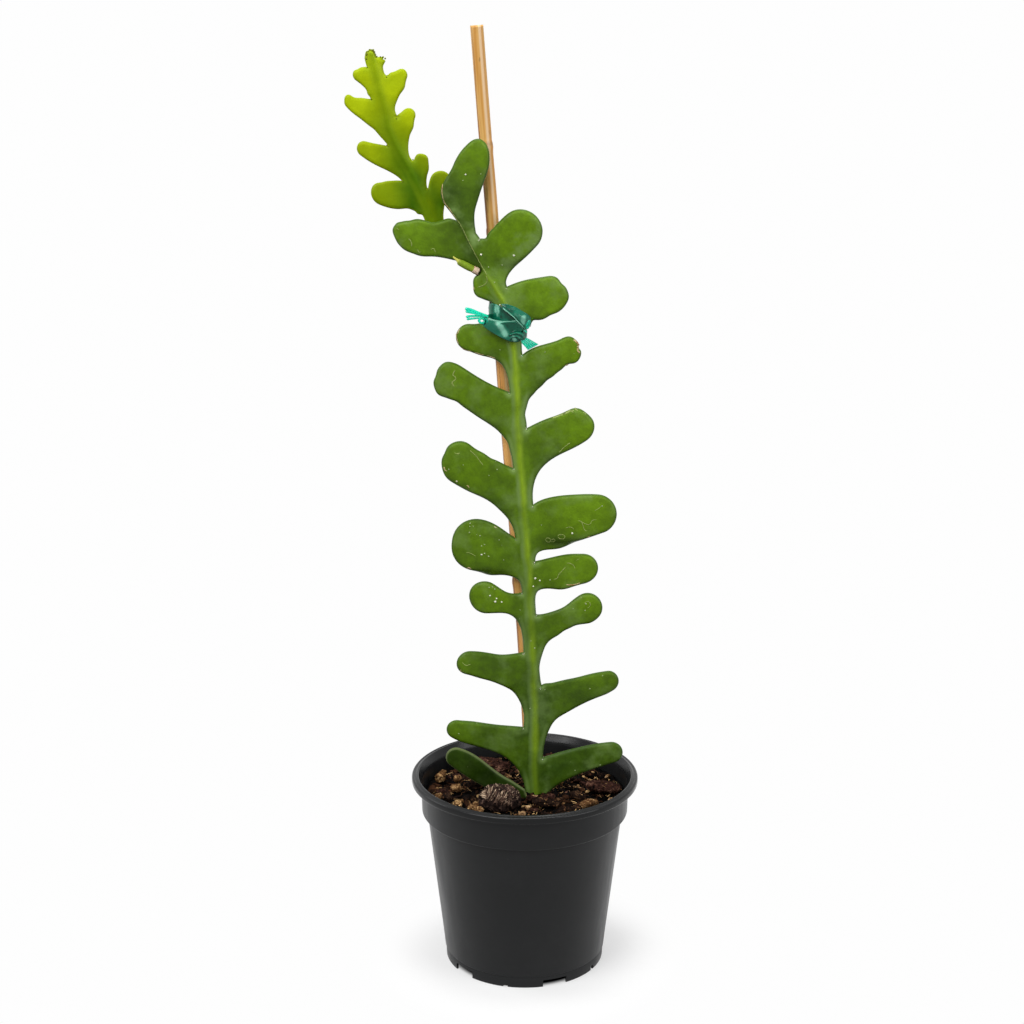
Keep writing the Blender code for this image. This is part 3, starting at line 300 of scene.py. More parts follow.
# Corky tan scars, most of them on the margins
TAN_SCARS = [
    (0.5, [(-40.75, 413.6), (-40.95, 411.9), (-41.15, 410.1), (-40.85, 407.7), (-40.45, 406)]),
    (0.45, [(-40.45, 406), (-39.75, 404.2), (-37.85, 402), (-35.75, 399)]),
    (0.5, [(-36.9, 398.2), (-35.7, 397.3)]),
    (0.5, [(-34, 342.9), (-34.6, 339.9), (-34.5, 336.9), (-33.4, 333.9)]),
    (0.5, [(-32.1, 332.1), (-29.8, 330.9), (-27, 330.2)]),
    (0.5, [(-25.6, 329.8), (-23.8, 329.2), (-20.8, 328.5)]),
    (0.45, [(-19.6, 328.2), (-17.6, 327.7), (-15, 326.9)]),
    (0.9, [(23.9, 336.5), (25.8, 335.1), (26.7, 333.2), (26.1, 331.2), (27.5, 329.6)]),
    (0.8, [(19.6, 323.1), (21.6, 324)]),
    (0.9, [(-41.6, 270.4), (-41.1, 268.7), (-40, 268.2)]),
    (0.7, [(-35.5, 263.2), (-34.6, 262.7)]),
    (0.8, [(-30.1, 260.8), (-29.2, 260.4), (-28.7, 259.3)]),
    (1.2, [(-30.1, 217.8), (-29, 218.1), (-27.7, 217.2)]),
    (1, [(31.5, 234), (32.4, 234.6), (33.4, 235.1)]),
    (0.7, [(21.3, 208.2), (23.4, 208), (25.6, 208.1), (28.6, 209)]),
    (0.7, [(-15.9, 239.8), (-15.2, 239.2), (-14.4, 238.8)]),
    (0.8, [(-33.7, 163.1), (-33.2, 160.6)]),
    (0.7, [(-26.7, 362.9), (-26.6, 361.1)]),
]
# Small white dots of dried sap: place (x, z) and radius
WHITE_DOTS = [
    (-29.5, 418.2, 0.45), (-22.1, 379.1, 0.55), (-5.8, 378.7, 0.55), (-18.4, 372.9, 0.35),
    (-11.7, 373.8, 0.3), (-22, 418.5, 0.25), (-30.8, 415.4, 0.2), (-15.5, 365.4, 0.35),
    (-12.8, 354, 0.5), (5.2, 212.2, 0.6), (7.6, 210.8, 0.45), (12.9, 211, 0.35), (4.2, 208, 0.45),
    (24.1, 236.5, 0.55), (39.2, 251.4, 0.35), (-18.6, 206.6, 0.35), (-16.9, 206.9, 0.4),
    (-15.7, 205.8, 0.4), (-18.2, 202.2, 0.45), (-14.8, 200.7, 0.5), (-15.5, 199, 0.6),
    (-12.1, 198.9, 0.45), (31.5, 198.4, 0.4), (25, 195.7, 0.3), (8.3, 240.5, 0.25), (-13.4, 232.7, 0.3),
    (-11.1, 222, 0.25), (-28.2, 241.9, 0.4), (-28.4, 240.3, 0.3), (-26.6, 240.3, 0.35),
    (-28.6, 237.1, 0.4), (-24.8, 235.9, 0.25), (-23.2, 235.2, 0.4), (-22.4, 229.8, 0.35),
    (-20.9, 230.5, 0.35), (-22.4, 225.2, 0.45), (-20.9, 225.8, 0.4), (-18.8, 224.2, 0.4),
    (-15.2, 239.1, 0.4), (-35, 262.9, 0.45), (-39.1, 269.2, 0.35), (-35, 125.5, 0.3),
    (-24.7, 138.7, 0.25), (-28.3, 150.9, 0.25), (2.7, 140.9, 0.3), (5, 174.4, 0.4), (3.1, 178.5, 0.25),
    (10.5, 150.9, 0.25), (31.1, 194.9, 0.35), (34.2, 150.9, 0.3), (40.9, 157.6, 0.25),
    (39.9, 109.3, 0.3), (26.7, 105.9, 0.25), (-2.6, 194.9, 0.25), (-14.4, 269.6, 0.3),
    (-18.5, 266.4, 0.25), (-31.7, 271.7, 0.25), (17.4, 316.1, 0.25), (9.8, 330.3, 0.25),
    (-12.8, 331.3, 0.25),
]
# Folded buds at the shoot's tip: place (x, z) and radius
SHOOT_KNOBS = [
    (-77.4, 475.2, 0.8), (-76.4, 476.3, 0.75), (-75.2, 476.9, 0.7), (-74.1, 476.2, 0.75),
    (-73.5, 475, 0.7), (-76.9, 474, 0.7), (-75.8, 475, 0.85), (-74.7, 474.6, 0.8), (-77.6, 473.1, 0.6),
    (-75.9, 473.4, 0.65), (-74.4, 473.2, 0.6), (-73.4, 473.7, 0.55), (-77.3, 476.3, 0.5),
    (-74.3, 477.2, 0.45), (-76, 477.3, 0.5), (-76.6, 472.2, 0.45), (-75, 472.4, 0.45),
    (-68.6, 473.2, 0.45), (-69.6, 473.9, 0.4), (-70.9, 474, 0.35),
]


# ---------------------------------------------------------------- shader tools

def tint(red, green, blue):
    """A colour as mixed on screen (0-255) turned into the linear values that shaders use."""
    channels = []
    for value in (red, green, blue):
        value /= 255
        channels.append(value / 12.92 if value <= 0.04045 else ((value + 0.055) / 1.055) ** 2.4)
    return (*channels, 1.0)


def plug(value, socket):
    """Links a socket to another, or sets it to a plain value."""
    if isinstance(value, bpy.types.NodeSocket):
        value.id_data.links.new(value, socket)
    else:
        socket.default_value = value


def add(tree, kind, inputs=None, **settings):
    """One shader node with its settings, and its inputs linked or set by name or number."""
    node = tree.nodes.new(kind)
    for key, value in settings.items():
        setattr(node, key, value)
    for key, value in (inputs or {}).items():
        plug(value, node.inputs[key])
    return node


def tree_of(*values):
    """The node tree of the first socket among the values."""
    return next(value.id_data for value in values if isinstance(value, bpy.types.NodeSocket))


def mix(factor, first, second, blend="MIX"):
    """Two colours mixed."""
    node = add(tree_of(factor, first), "ShaderNodeMix", data_type="RGBA", blend_type=blend)
    for number, value in ((0, factor), (6, first), (7, second)):
        plug(value, node.inputs[number])
    return node.outputs[2]


def maths(operation, first, second=0.0):
    tree = tree_of(first, second)
    return add(tree, "ShaderNodeMath", {0: first, 1: second}, operation=operation).outputs[0]


def times(first, second):
    return maths("MULTIPLY", first, second)


def plus(first, second):
    return maths("ADD", first, second)


def off(value, middle=0.0):
    """How far a value lies from a middle, either way."""
    return maths("ABSOLUTE", maths("SUBTRACT", value, middle))


def grey(value):
    """A value as a shade of grey."""
    shades = {"Red": value, "Green": value, "Blue": value}
    return add(value.id_data, "ShaderNodeCombineColor", shades).outputs["Color"]


def ramp(value, low, high, to_low=0.0, to_high=1.0):
    """A value eased from one range into another."""
    limits = {"Value": value, "From Min": low, "From Max": high, "To Min": to_low, "To Max": to_high}
    return add(value.id_data, "ShaderNodeMapRange", limits, interpolation_type="SMOOTHSTEP").outputs["Result"]


def grain_noise(vector, scale, detail=2.0, rough=0.5, twist=0.0):
    values = {"Vector": vector, "Scale": scale, "Detail": detail, "Roughness": rough, "Distortion": twist}
    return add(vector.id_data, "ShaderNodeTexNoise", values).outputs["Fac"]


def cells(vector, scale):
    return add(vector.id_data, "ShaderNodeTexVoronoi", {"Vector": vector, "Scale": scale}).outputs


def stretched(vector, along):
    """Coordinates drawn out lengthwise; a small value along z makes long streaks."""
    return add(vector.id_data, "ShaderNodeMapping", {"Vector": vector, "Scale": (1.0, 1.0, along)}).outputs[0]


def upward(vector):
    return add(vector.id_data, "ShaderNodeSeparateXYZ", {"Vector": vector}).outputs["Z"]


def named_value(tree, name):
    """A value stored on the mesh's points."""
    return add(tree, "ShaderNodeAttribute", attribute_name=name).outputs["Fac"]


def new_group(name, inputs, outputs):
    """An empty node group with named sockets; inputs are (name, kind, value), outputs (name, kind)."""
    group = bpy.data.node_groups.new(name, "ShaderNodeTree")
    for label, kind, value in inputs:
        socket = group.interface.new_socket(label, in_out="INPUT", socket_type="NodeSocket" + kind)
        if value is not None:
            socket.default_value = value
    for label, kind in outputs:
        group.interface.new_socket(label, in_out="OUTPUT", socket_type="NodeSocket" + kind)
    return group, group.nodes.new("NodeGroupInput").outputs, group.nodes.new("NodeGroupOutput").inputs


def use_group(tree, group, **values):
    """A group placed in a tree; values are given by socket name with spaces as underscores."""
    node = tree.nodes.new("ShaderNodeGroup")
    node.node_tree = group
    for key, value in values.items():
        plug(value, node.inputs[key.replace("_", " ")])
    return node.outputs


def new_material(name, **shader_values):
    """A material with only a Principled shader; its plain values are set on the shader's own sockets."""
    material = bpy.data.materials.new(name)
    material.use_nodes = True
    inputs = material.node_tree.nodes["Principled BSDF"].inputs
    for key, value in shader_values.items():
        inputs[key.replace("_", " ")].default_value = value
    return material, material.node_tree


def object_coordinates(tree):
    return add(tree, "ShaderNodeTexCoord").outputs["Object"]


def finished(material, colour, height, strength, distance, rough=None):
    """The material with its colour, fine relief and roughness led into its shader."""
    tree = material.node_tree
    inputs = tree.nodes["Principled BSDF"].inputs
    relief = add(tree, "ShaderNodeBump", {"Strength": strength, "Distance": distance, "Height": height})
    plug(relief.outputs["Normal"], inputs["Normal"])
    plug(colour, inputs["Base Color"])
    if rough is not None:
        plug(rough, inputs["Roughness"])
    return material


def seen_rays(tree):
    """1 for rays that look at a surface straight, in a reflection or through something clear."""
    rays = add(tree, "ShaderNodeLightPath").outputs
    mirrored = maths("MAXIMUM", rays["Is Glossy Ray"], rays["Is Transmission Ray"])
    return maths("MAXIMUM", rays["Is Camera Ray"], mirrored)


# ---------------------------------------------------------------- shared effects

def speckle_group():
    """Sparse small round dots: a mask that is 1 in each dot."""
    group, given, result = new_group("speckle", [
        ("Vector", "Vector", None), ("Scale", "Float", 300.0), ("Size", "Float", 0.12),
        ("Share", "Float", 0.1)], [("Mask", "Float")])
    points = cells(given["Vector"], given["Scale"])
    pick = add(group, "ShaderNodeSeparateColor", {"Color": points["Color"]}).outputs["Red"]
    chosen = maths("LESS_THAN", pick, given["Share"])
    soft = times(given["Size"], 1.6)
    limits = {"Value": points["Distance"], "From Min": soft, "From Max": given["Size"]}
    dot = add(group, "ShaderNodeMapRange", limits).outputs["Result"]
    plug(times(dot, chosen), result["Mask"])
    return group


def mottle_group():
    """Soft blotches in two sizes: a colour is lightened and darkened by them."""
    group, given, result = new_group("mottle", [
        ("Vector", "Vector", None), ("Color", "Color", None), ("Large", "Float", 90.0),
        ("Small", "Float", 420.0), ("Depth", "Float", 0.25)], [("Color", "Color"), ("Value", "Float")])
    wide = grain_noise(given["Vector"], given["Large"], 2.0)
    fine = grain_noise(given["Vector"], given["Small"], 3.0)
    both = plus(times(wide, 0.65), times(fine, 0.35))
    centred = ramp(both, 0.3, 0.7, -1.0, 1.0)
    gain = plus(times(centred, given["Depth"]), 1.0)
    plug(mix(1.0, given["Color"], grey(gain), "MULTIPLY"), result["Color"])
    plug(both, result["Value"])
    return group


def bark_group():
    """Ridged, broken bark: colour from dark clefts to pale ridges, darkened by painted shade where Hollow is
    low, and the height of the ridges.
    """
    group, given, result = new_group("bark grain", [
        ("Vector", "Vector", None), ("Cleft", "Color", None), ("Body", "Color", None),
        ("Ridge", "Color", None), ("Scale", "Float", 500.0), ("Hollow", "Float", 0.5)],
        [("Color", "Color"), ("Height", "Float")])
    rough = grain_noise(given["Vector"], given["Scale"], 6.0, 0.65, 0.6)
    wide = grain_noise(given["Vector"], times(given["Scale"], 0.28), 3.0)
    height = plus(times(rough, 0.6), times(wide, 0.4))
    body = mix(ramp(height, 0.36, 0.54), given["Cleft"], given["Body"])
    colour = mix(ramp(height, 0.52, 0.68), body, given["Ridge"])
    # Painted shade: the colour is darkened where the Hollow value is low, in hollows and on undersides.
    shade = ramp(given["Hollow"], 0.18, 0.68, 0.03, 1.0)
    plug(mix(1.0, colour, grey(shade), "MULTIPLY"), result["Color"])
    plug(height, result["Height"])
    return group


def skin_group(speckle, mottle):
    """Waxy stem skin: deep to bright green, a yellow rib with painted highlights beside it, a rim band and
    dull bloom.
    """
    group, given, result = new_group("stem skin", [
        ("Vector", "Vector", None), ("Edge", "Float", 5.0), ("Rib", "Float", 20.0), ("Tone", "Float", 0.3),
        ("Deep", "Color", None), ("Bright", "Color", None), ("Rib Color", "Color", None),
        ("Shoulder", "Color", None), ("Rim", "Color", None), ("Bloom", "Float", 0.3),
        ("Ribbed", "Float", 1.0), ("Patches", "Float", 1.0)],
        [("Color", "Color"), ("Roughness", "Float"), ("Height", "Float")])
    place = given["Vector"]
    drift = ramp(grain_noise(place, 50.0, 3.0), 0.3, 0.7, -0.16, 0.16)
    tone = plus(given["Tone"], times(drift, given["Patches"]))
    tone.node.use_clamp = True
    colour = mix(tone, given["Deep"], given["Bright"])
    depth = times(given["Patches"], 0.17)
    spotted = use_group(group, mottle, Vector=place, Color=colour, Large=260.0, Small=900.0, Depth=depth)
    dull = ramp(grain_noise(place, 62.0, 4.0, 0.62), 0.47, 0.72)
    colour = mix(times(dull, given["Bloom"]), spotted["Color"], given["Shoulder"])
    wander = ramp(grain_noise(place, 80.0, 2.0), 0.3, 0.7, -0.5, 0.5)
    across = plus(given["Rib"], wander)
    patchy = ramp(grain_noise(place, 70.0, 2.0), 0.35, 0.65, 0.4, 1.0)
    # Painted highlight in the shoulder colour: a band left of the rib for the lit side of the raised rib, and
    # bands along the core's free edges for their lit rounding.
    left = times(ramp(off(across, -2.1), 1.9, 0.3, 0.0, 0.6), patchy)
    free = times(ramp(off(given["Rib"]), 7.5, 4.0), ramp(given["Edge"], 4.2, 1.4))
    pale = maths("MAXIMUM", left, times(free, 0.55))
    colour = mix(times(pale, given["Ribbed"]), colour, given["Shoulder"])
    line = times(ramp(off(across), 2.7, 0.1), ramp(patchy, 0.4, 1.0, 0.4, 0.85))
    colour = mix(times(line, given["Ribbed"]), colour, given["Rib Color"])
    # The band along the margin in the rim colour: on the mature stem a dark line, partly its own colour and
    # partly painted shade where the margin turns from the light; on the basal shoot a pale painted highlight
    # along its rounded margin.
    band = times(ramp(given["Edge"], 1.1, 0.35), 0.6)
    colour = mix(band, colour, given["Rim"])
    specks = use_group(group, speckle, Vector=place, Scale=330.0, Size=0.07, Share=0.08)["Mask"]
    colour = mix(times(specks, 0.4), colour, tint(150, 165, 115))
    plug(colour, result["Color"])
    plug(ramp(spotted["Value"], 0.3, 0.7, 0.34, 0.5), result["Roughness"])
    pores = cells(place, 1400.0)["Distance"]
    height = plus(times(pores, 0.12), spotted["Value"])
    plug(plus(height, specks), result["Height"])
    return group


def make_groups():
    speckle = speckle_group()
    mottle = mottle_group()
    return {"speckle": speckle, "mottle": mottle, "bark": bark_group(), "skin": skin_group(speckle, mottle)}


# ---------------------------------------------------------------- materials

def stem_material(groups, name, colours, bloom, shine, patches=1.0):
    """Waxy skin. Its colours are deep, bright, rib, shoulder and rim."""
    material, tree = new_material(name, Specular_IOR_Level=shine)
    sockets = ("Deep", "Bright", "Rib_Color", "Shoulder", "Rim")
    stored = {key: named_value(tree, key.lower()) for key in ("Edge", "Rib", "Tone", "Ribbed")}
    skin = use_group(tree, groups["skin"], Vector=object_coordinates(tree), Patches=patches,
                     Bloom=times(named_value(tree, "bloom"), bloom), **stored,
                     **{key: tint(*colour) for key, colour in zip(sockets, colours)})
    return finished(material, skin["Color"], skin["Height"], 0.25, 0.0006, skin["Roughness"])


def pot_material(groups):
    """Satin black plastic with faint moulding streaks, dust and scuffs; the lip is smoother, and darker as
    painted shade.
    """
    material, tree = new_material("pot_plastic", Specular_IOR_Level=0.22)
    place = object_coordinates(tree)
    streaks = grain_noise(stretched(place, 0.12), 160.0, 3.0)
    dust = grain_noise(place, 60.0, 4.0, 0.6)
    colour = mix(ramp(dust, 0.4, 0.8, 0.0, 0.5), tint(24, 25, 26), tint(34, 35, 36))
    specks = use_group(tree, groups["speckle"], Vector=place, Scale=220.0, Size=0.05, Share=0.07)["Mask"]
    colour = mix(times(specks, 0.25), colour, tint(80, 78, 76))
    # Painted shade: the lip is coloured darker to stand for the dim room it reflects.
    lip = ramp(upward(place), (LIP_UNDERSIDE - 0.4) * MM, (LIP_UNDERSIDE + 0.4) * MM)
    colour = mix(lip, colour, tint(15, 16, 17))
    rough = maths("SUBTRACT", ramp(streaks, 0.3, 0.7, 0.3, 0.4), times(lip, 0.14))
    stipple = grain_noise(place, 2600.0, 2.0)
    return finished(material, colour, plus(stipple, streaks), 0.12, 0.0003, rough)


def soil_material(groups, name, cleft, body, ridge, scale, strength):
    """Bark, cork, husk or peat, black in its clefts, pale on its ridges, and with painted shade in its
    hollows.
    """
    material, tree = new_material(name, Specular_IOR_Level=0.04, Roughness=0.8)
    bark = use_group(tree, groups["bark"], Vector=object_coordinates(tree), Cleft=tint(*cleft),
                     Body=tint(*body), Ridge=tint(*ridge), Scale=scale, Hollow=named_value(tree, "hollow"))
    return finished(material, bark["Color"], bark["Height"], strength, 0.0012)


def crumb_material(groups, name, dark, brown, pale):
    """Crumbs and splinters, each with its own shade between black peat and pale wood."""
    material, tree = new_material(name, Specular_IOR_Level=0.04, Roughness=0.9)
    shade = named_value(tree, "shade")
    half = mix(ramp(shade, 0.0, 0.55), tint(*dark), tint(*brown))
    colour = mix(ramp(shade, 0.5, 0.95), half, tint(*pale))
    spotted = use_group(tree, groups["mottle"], Vector=object_coordinates(tree), Color=colour, Large=500.0,
                        Small=1600.0, Depth=0.45)
    return finished(material, spotted["Color"], spotted["Value"], 0.5, 0.0006)


def bamboo_material(groups):
    """Split bamboo: orange tan with long fibres, brown streaks and dark marks at the nodes.

    A painted highlight runs up the right of its front, painted shade darkens its left edge, and its lower
    part is lighter orange, partly its own colour and partly painted light.
    """
    material, tree = new_material("bamboo", Specular_IOR_Level=0.4)
    grain = add(tree, "ShaderNodeAttribute", attribute_name="grain").outputs["Vector"]
    side = named_value(tree, "side")
    fibres = grain_noise(stretched(grain, 0.02), 2200.0, 3.0, 0.6)
    bands = grain_noise(stretched(grain, 0.035), 420.0, 2.0)
    streak = grain_noise(stretched(grain, 0.012), 700.0, 2.0)
    # Painted highlight: a pale stripe up the right of the front.
    worn = times(ramp(off(side, 0.42), 0.34, 0.1), ramp(bands, 0.3, 0.6, 0.4, 0.85))
    # Painted shade along the left edge.
    shady = times(ramp(side, -0.55, -0.9), ramp(bands, 0.62, 0.42, 0.25, 0.85))
    flecks = use_group(tree, groups["speckle"], Vector=stretched(grain, 0.4), Scale=520.0,
                       Size=0.2, Share=0.07)["Mask"]
    colour = mix(ramp(bands, 0.34, 0.66), tint(212, 146, 60), tint(240, 190, 110))
    for mask, over in (
            (ramp(fibres, 0.5, 0.72, 0.0, 0.5), (190, 118, 46)),
            # Lighter orange below about 385 mm: partly its own colour, partly painted light where the stem
            # shades the cane.
            (ramp(upward(grain), 0.385, 0.345, 0.0, 0.6), (255, 186, 112)),
            (worn, (250, 216, 172)), (shady, (140, 80, 30)),
            (times(flecks, ramp(side, 0.3, -0.4, 0.2, 0.85)), (92, 50, 24)),
            (ramp(streak, 0.64, 0.74, 0.0, 0.75), (122, 72, 36)),
            (times(named_value(tree, "node_mark"), 0.75), (104, 62, 34)),
            (named_value(tree, "cut_end"), (206, 164, 112))):
        colour = mix(mask, colour, tint(*over))
    return finished(material, colour, fibres, 0.3, 0.0004, ramp(fibres, 0.3, 0.7, 0.36, 0.5))


def tape_material(name, deep, body, pale, transmission):
    """Thin stretched plastic tape coloured by its pull value: deep where it is low, for painted shade and
    where it lies in layers, and pale where it is high, for painted highlights and where it is pulled thin.
    """
    material, tree = new_material(name, Transmission_Weight=transmission, IOR=1.3, Specular_IOR_Level=0.4,
                                  Coat_Weight=0.12, Coat_Roughness=0.1)
    place = object_coordinates(tree)
    layers = grain_noise(stretched(place, 1.6), 260.0, 2.0)
    pull = plus(named_value(tree, "pull"), ramp(layers, 0.3, 0.7, -0.08, 0.08))
    colour = mix(ramp(pull, 0.0, 0.45), tint(*deep), tint(*body))
    colour = mix(ramp(pull, 0.45, 1.0), colour, tint(*pale))
    return finished(material, colour, grain_noise(place, 420.0, 2.0), 0.12, 0.0004,
                    ramp(layers, 0.3, 0.7, 0.14, 0.26))


def corky_material(groups, name, pale, brown):
    """Dry corky skin of scars, tufts and cut ends."""
    material, tree = new_material(name, Specular_IOR_Level=0.2, Roughness=0.8)
    spotted = use_group(tree, groups["mottle"], Vector=object_coordinates(tree), Color=tint(*pale),
                        Large=700.0, Small=2400.0, Depth=0.3)
    colour = mix(ramp(spotted["Value"], 0.5, 0.62), spotted["Color"], tint(*brown))
    return finished(material, colour, spotted["Value"], 0.4, 0.0003)


# ---------------------------------------------------------------- making pieces

class Heap:
    """Forms gathered into one piece, with values stored on their points."""

    def __init__(self):
        self.points = []
        self.faces = []
        self.values = {}

    def add(self, points, faces, **values):
        first = len(self.points)
        self.points += [tuple(point) for point in points]
        self.faces += [tuple(first + i for i in face) for face in faces]
        for key, value in values.items():
            spread = value if hasattr(value, "__len__") else [value] * len(points)
            self.values.setdefault(key, []).extend(spread)


def placed(name, data):
    """A new object in the scene."""
    item = bpy.data.objects.new(name, data)
    bpy.context.collection.objects.link(item)
    return item


def heap_mesh(name, heap):
    """A heap's forms as one mesh in metres, all its faces turned outwards."""
    mesh = bpy.data.meshes.new(name)
    mesh.from_pydata([tuple(value * MM for value in point) for point in heap.points], [], heap.faces)
    bm = bmesh.new()
    bm.from_mesh(mesh)
    bmesh.ops.recalc_face_normals(bm, faces=bm.faces)
    bm.to_mesh(mesh)
    bm.free()
    return mesh


def new_piece(name, heap, material, replaces=()):
    """One piece from points in millimetres, riding on the plant's only body."""
    mesh = heap_mesh(name, heap)
    for key, spread in heap.values.items():
        kind, field = ("FLOAT_VECTOR", "vector") if np.ndim(spread) == 2 else ("FLOAT", "value")
        store = mesh.attributes.new(key, kind, "POINT")
        store.data.foreach_set(field, np.asarray(spread, dtype=np.float32).ravel())
    mesh.shade_smooth()
    mesh.materials.append(material)
    piece = placed(name, mesh)
    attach(piece, "root")
    for node in replaces:
        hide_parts(node)
    return piece


def circle(k, count):
    """Cosine and sine of step k of a full turn in count steps."""
    angle = 2 * math.pi * k / count
    return math.cos(angle), math.sin(angle)


def clamp(value):
    return min(1.0, max(0.0, value))


def hill(far, width):
    """1 at no distance, falling softly to 0 beyond the width."""
    return math.exp(-((far / width) ** 2))


def vectors(points):
    return [Vector(point) for point in points]


def loft(rings, caps=True):
    """Points and faces of a skin through equal closed rings of points."""
    count = len(rings[0])
    points = [point for ring in rings for point in ring]
    faces = []
    for k in range(len(rings) - 1):
        low, high = k * count, (k + 1) * count
        for i in range(count):
            j = (i + 1) % count
            faces.append((low + i, low + j, high + j, high + i))
    if caps:
        faces.append(tuple(range(count))[::-1])
        faces.append(tuple(range(len(points) - count, len(points))))
    return points, faces


def turned(profile, segments):
    """Points and faces of a solid of revolution from an open (r, z) profile that ends on the axis."""
    points, faces, rings = [], [], []
    for radius, height in profile:
        first = len(points)
        if radius < 1e-6:
            points.append((0.0, 0.0, height))
            rings.append([first] * segments)
            continue
        for i in range(segments):
            cos, sin = circle(i, segments)
            points.append((radius * sin, -radius * cos, height))
        rings.append(list(range(first, first + segments)))
    for low, high in zip(rings, rings[1:]):
        for i in range(segments):
            j = (i + 1) % segments
            faces.append(tuple(dict.fromkeys((low[i], low[j], high[j], high[i]))))
    return points, faces


def bend(spots, i, t):
    """The place a share t of the way from spot i to the next, on a smooth curve through all of them."""
    before, a = spots[max(i - 1, 0)], spots[i]
    b, after = spots[i + 1], spots[min(i + 2, len(spots) - 1)]
    return 0.5 * (2 * a + (b - before) * t + (2 * before - 5 * a + 4 * b - after) * t * t
                  + (3 * a - before - 3 * b + after) * t ** 3)


def smooth_route(points, spacing):
    """A smooth curve through the points, with a point about every spacing."""
    route = []
    spots = vectors(points)
    for i in range(len(spots) - 1):
        steps = max(1, round((spots[i + 1] - spots[i]).length / spacing))
        route += [bend(spots, i, k / steps) for k in range(steps)]
    return route + [spots[-1]]


def tube(route, radii, count):
    """Rings of a round bar along a route in space, with one radius for each point."""
    rings = []
    across = (route[1] - route[0]).orthogonal().normalized()
    for i, point in enumerate(route):
        along = (route[min(i + 1, len(route) - 1)] - route[max(i - 1, 0)]).normalized()
        across = (across - along * across.dot(along)).normalized()
        up = along.cross(across)
        turns = [circle(k, count) for k in range(count)]
        rings.append([point + radii[i] * (cos * across + sin * up) for cos, sin in turns])
    return rings


def surface(item):
    """The surface of an object as a search tree, in metres."""
    bm = bmesh.new()
    bm.from_mesh(item.data)
    tree = BVHTree.FromBMesh(bm)
    bm.free()
    return tree


# ---------------------------------------------------------------- stems

def bezier(a, b, c, d, steps):
    """Points of a cubic curve, without its last point."""
    shares = [(i / steps, 1.0 - i / steps) for i in range(steps)]
    return [a * s ** 3 + b * 3 * s * s * t + c * 3 * s * t * t + d * t ** 3 for t, s in shares]


def lobe_outline(lobe, foot, stem_up, steps):
    """Points from the lobe's notch out over its tip and back in, stopping short of the next notch."""
    start = lobe.axil
    top = lobe.upper_end()
    low = lobe.lower_end()
    pull = 0.36 * (top - start).length
    points = bezier(start, start + pull * lobe.outward(lobe.rise),
                    top - pull * lobe.outward(lobe.crown), top, steps)
    sweep = math.pi + lobe.crown - lobe.belly
    arc_steps = max(4, round(sweep / math.pi * steps * 1.4))
    for i in range(arc_steps):
        angle = math.pi / 2 + lobe.crown - sweep * i / arc_steps
        points.append(lobe.tip + lobe.radius * Vector((lobe.side * math.cos(angle), math.sin(angle))))
    points += bezier(low, low - lobe.reach * lobe.outward(lobe.belly),
                     foot + lobe.web * stem_up, foot, steps + 1)
    return points


def side_outline(lobes, foot, steps, rib):
    """One side of a stem, from the top lobe's notch down to the foot."""
    points = []
    for i in range(len(lobes) - 1, -1, -1):
        below = lobes[i - 1].axil if i else foot
        nearest = min(range(len(rib) - 1), key=lambda k: ((rib[k] + rib[k + 1]) / 2 - below).length)
        stem_up = (rib[nearest + 1] - rib[nearest]).normalized()
        points += lobe_outline(lobes[i], below, stem_up, steps)
    return points


def stem_outline(steps):
    """The whole main blade: left side up, terminal lobe, right side down, buried foot."""
    foot, rib = vectors(STEM_CORE_FOOT), vectors(STEM_RIB)
    left = side_outline(LEFT_LOBES, foot[4], steps, rib)
    right = side_outline(RIGHT_LOBES, foot[0], steps, rib)
    return foot + left[::-1] + smooth_route(TERMINAL_OUTLINE, OUTLINE_STEP)[1:] + right


def fine_loop(loop, step):
    """A closed outline, clockwise seen from the front, with a point at least every step."""
    loop = vectors(loop)
    if sum(a.x * b.y - b.x * a.y for a, b in zip(loop, loop[1:] + loop[:1])) > 0:
        loop = loop[::-1]
    points = []
    for a, b in zip(loop, loop[1:] + loop[:1]):
        parts = max(1, math.ceil((b - a).length / step))
        if (b - a).length < 0.05:
            continue
        points += [tuple(a.lerp(b, k / parts)) for k in range(parts)]
    return np.array(points)


def unit(runs):
    return runs / np.maximum(np.hypot(*runs.T), 1e-6)[:, None]


def sideways(runs):
    """Directions turned a quarter to the right."""
    return np.stack([runs[:, 1], -runs[:, 0]], axis=1)


def bell(far, width):
    """1 at no distance, falling softly to 0 beyond the width."""
    return np.exp(-((far / width) ** 2))


def within_one(values):
    return np.clip(values, 0.0, 1.0)


def swell(loop, swells):
    """The outline moved out or in along its own normal by its bulges and hollows."""
    side = np.hypot(*(np.roll(loop, -1, axis=0) - loop).T)
    along = np.concatenate([[0.0], np.cumsum(side)[:-1]])
    run = unit(np.roll(loop, -2, axis=0) - np.roll(loop, 2, axis=0))
    height = np.zeros(len(loop))
    for x, z, width, amount in swells:
        place = np.argmin(np.hypot(loop[:, 0] - x, loop[:, 1] - z))
        away = np.abs(along - along[place])
        away = np.minimum(away, side.sum() - away)
        height += amount * bell(away, width)
    return loop - height[:, None] * sideways(run)


def to_path(points, path, closed=False):
    """Shortest distances from many points to a polyline."""
    starts = path if closed else path[:-1]
    ends = np.roll(path, -1, axis=0) if closed else path[1:]
    best = np.full(len(points), np.inf)
    for start, side in zip(starts, ends - starts):
        away = points - start
        t = np.clip(away @ side / max(side @ side, 1e-12), 0.0, 1.0)
        away -= t[:, None] * side
        best = np.minimum(best, np.einsum("ij,ij->i", away, away))
    return np.sqrt(best)


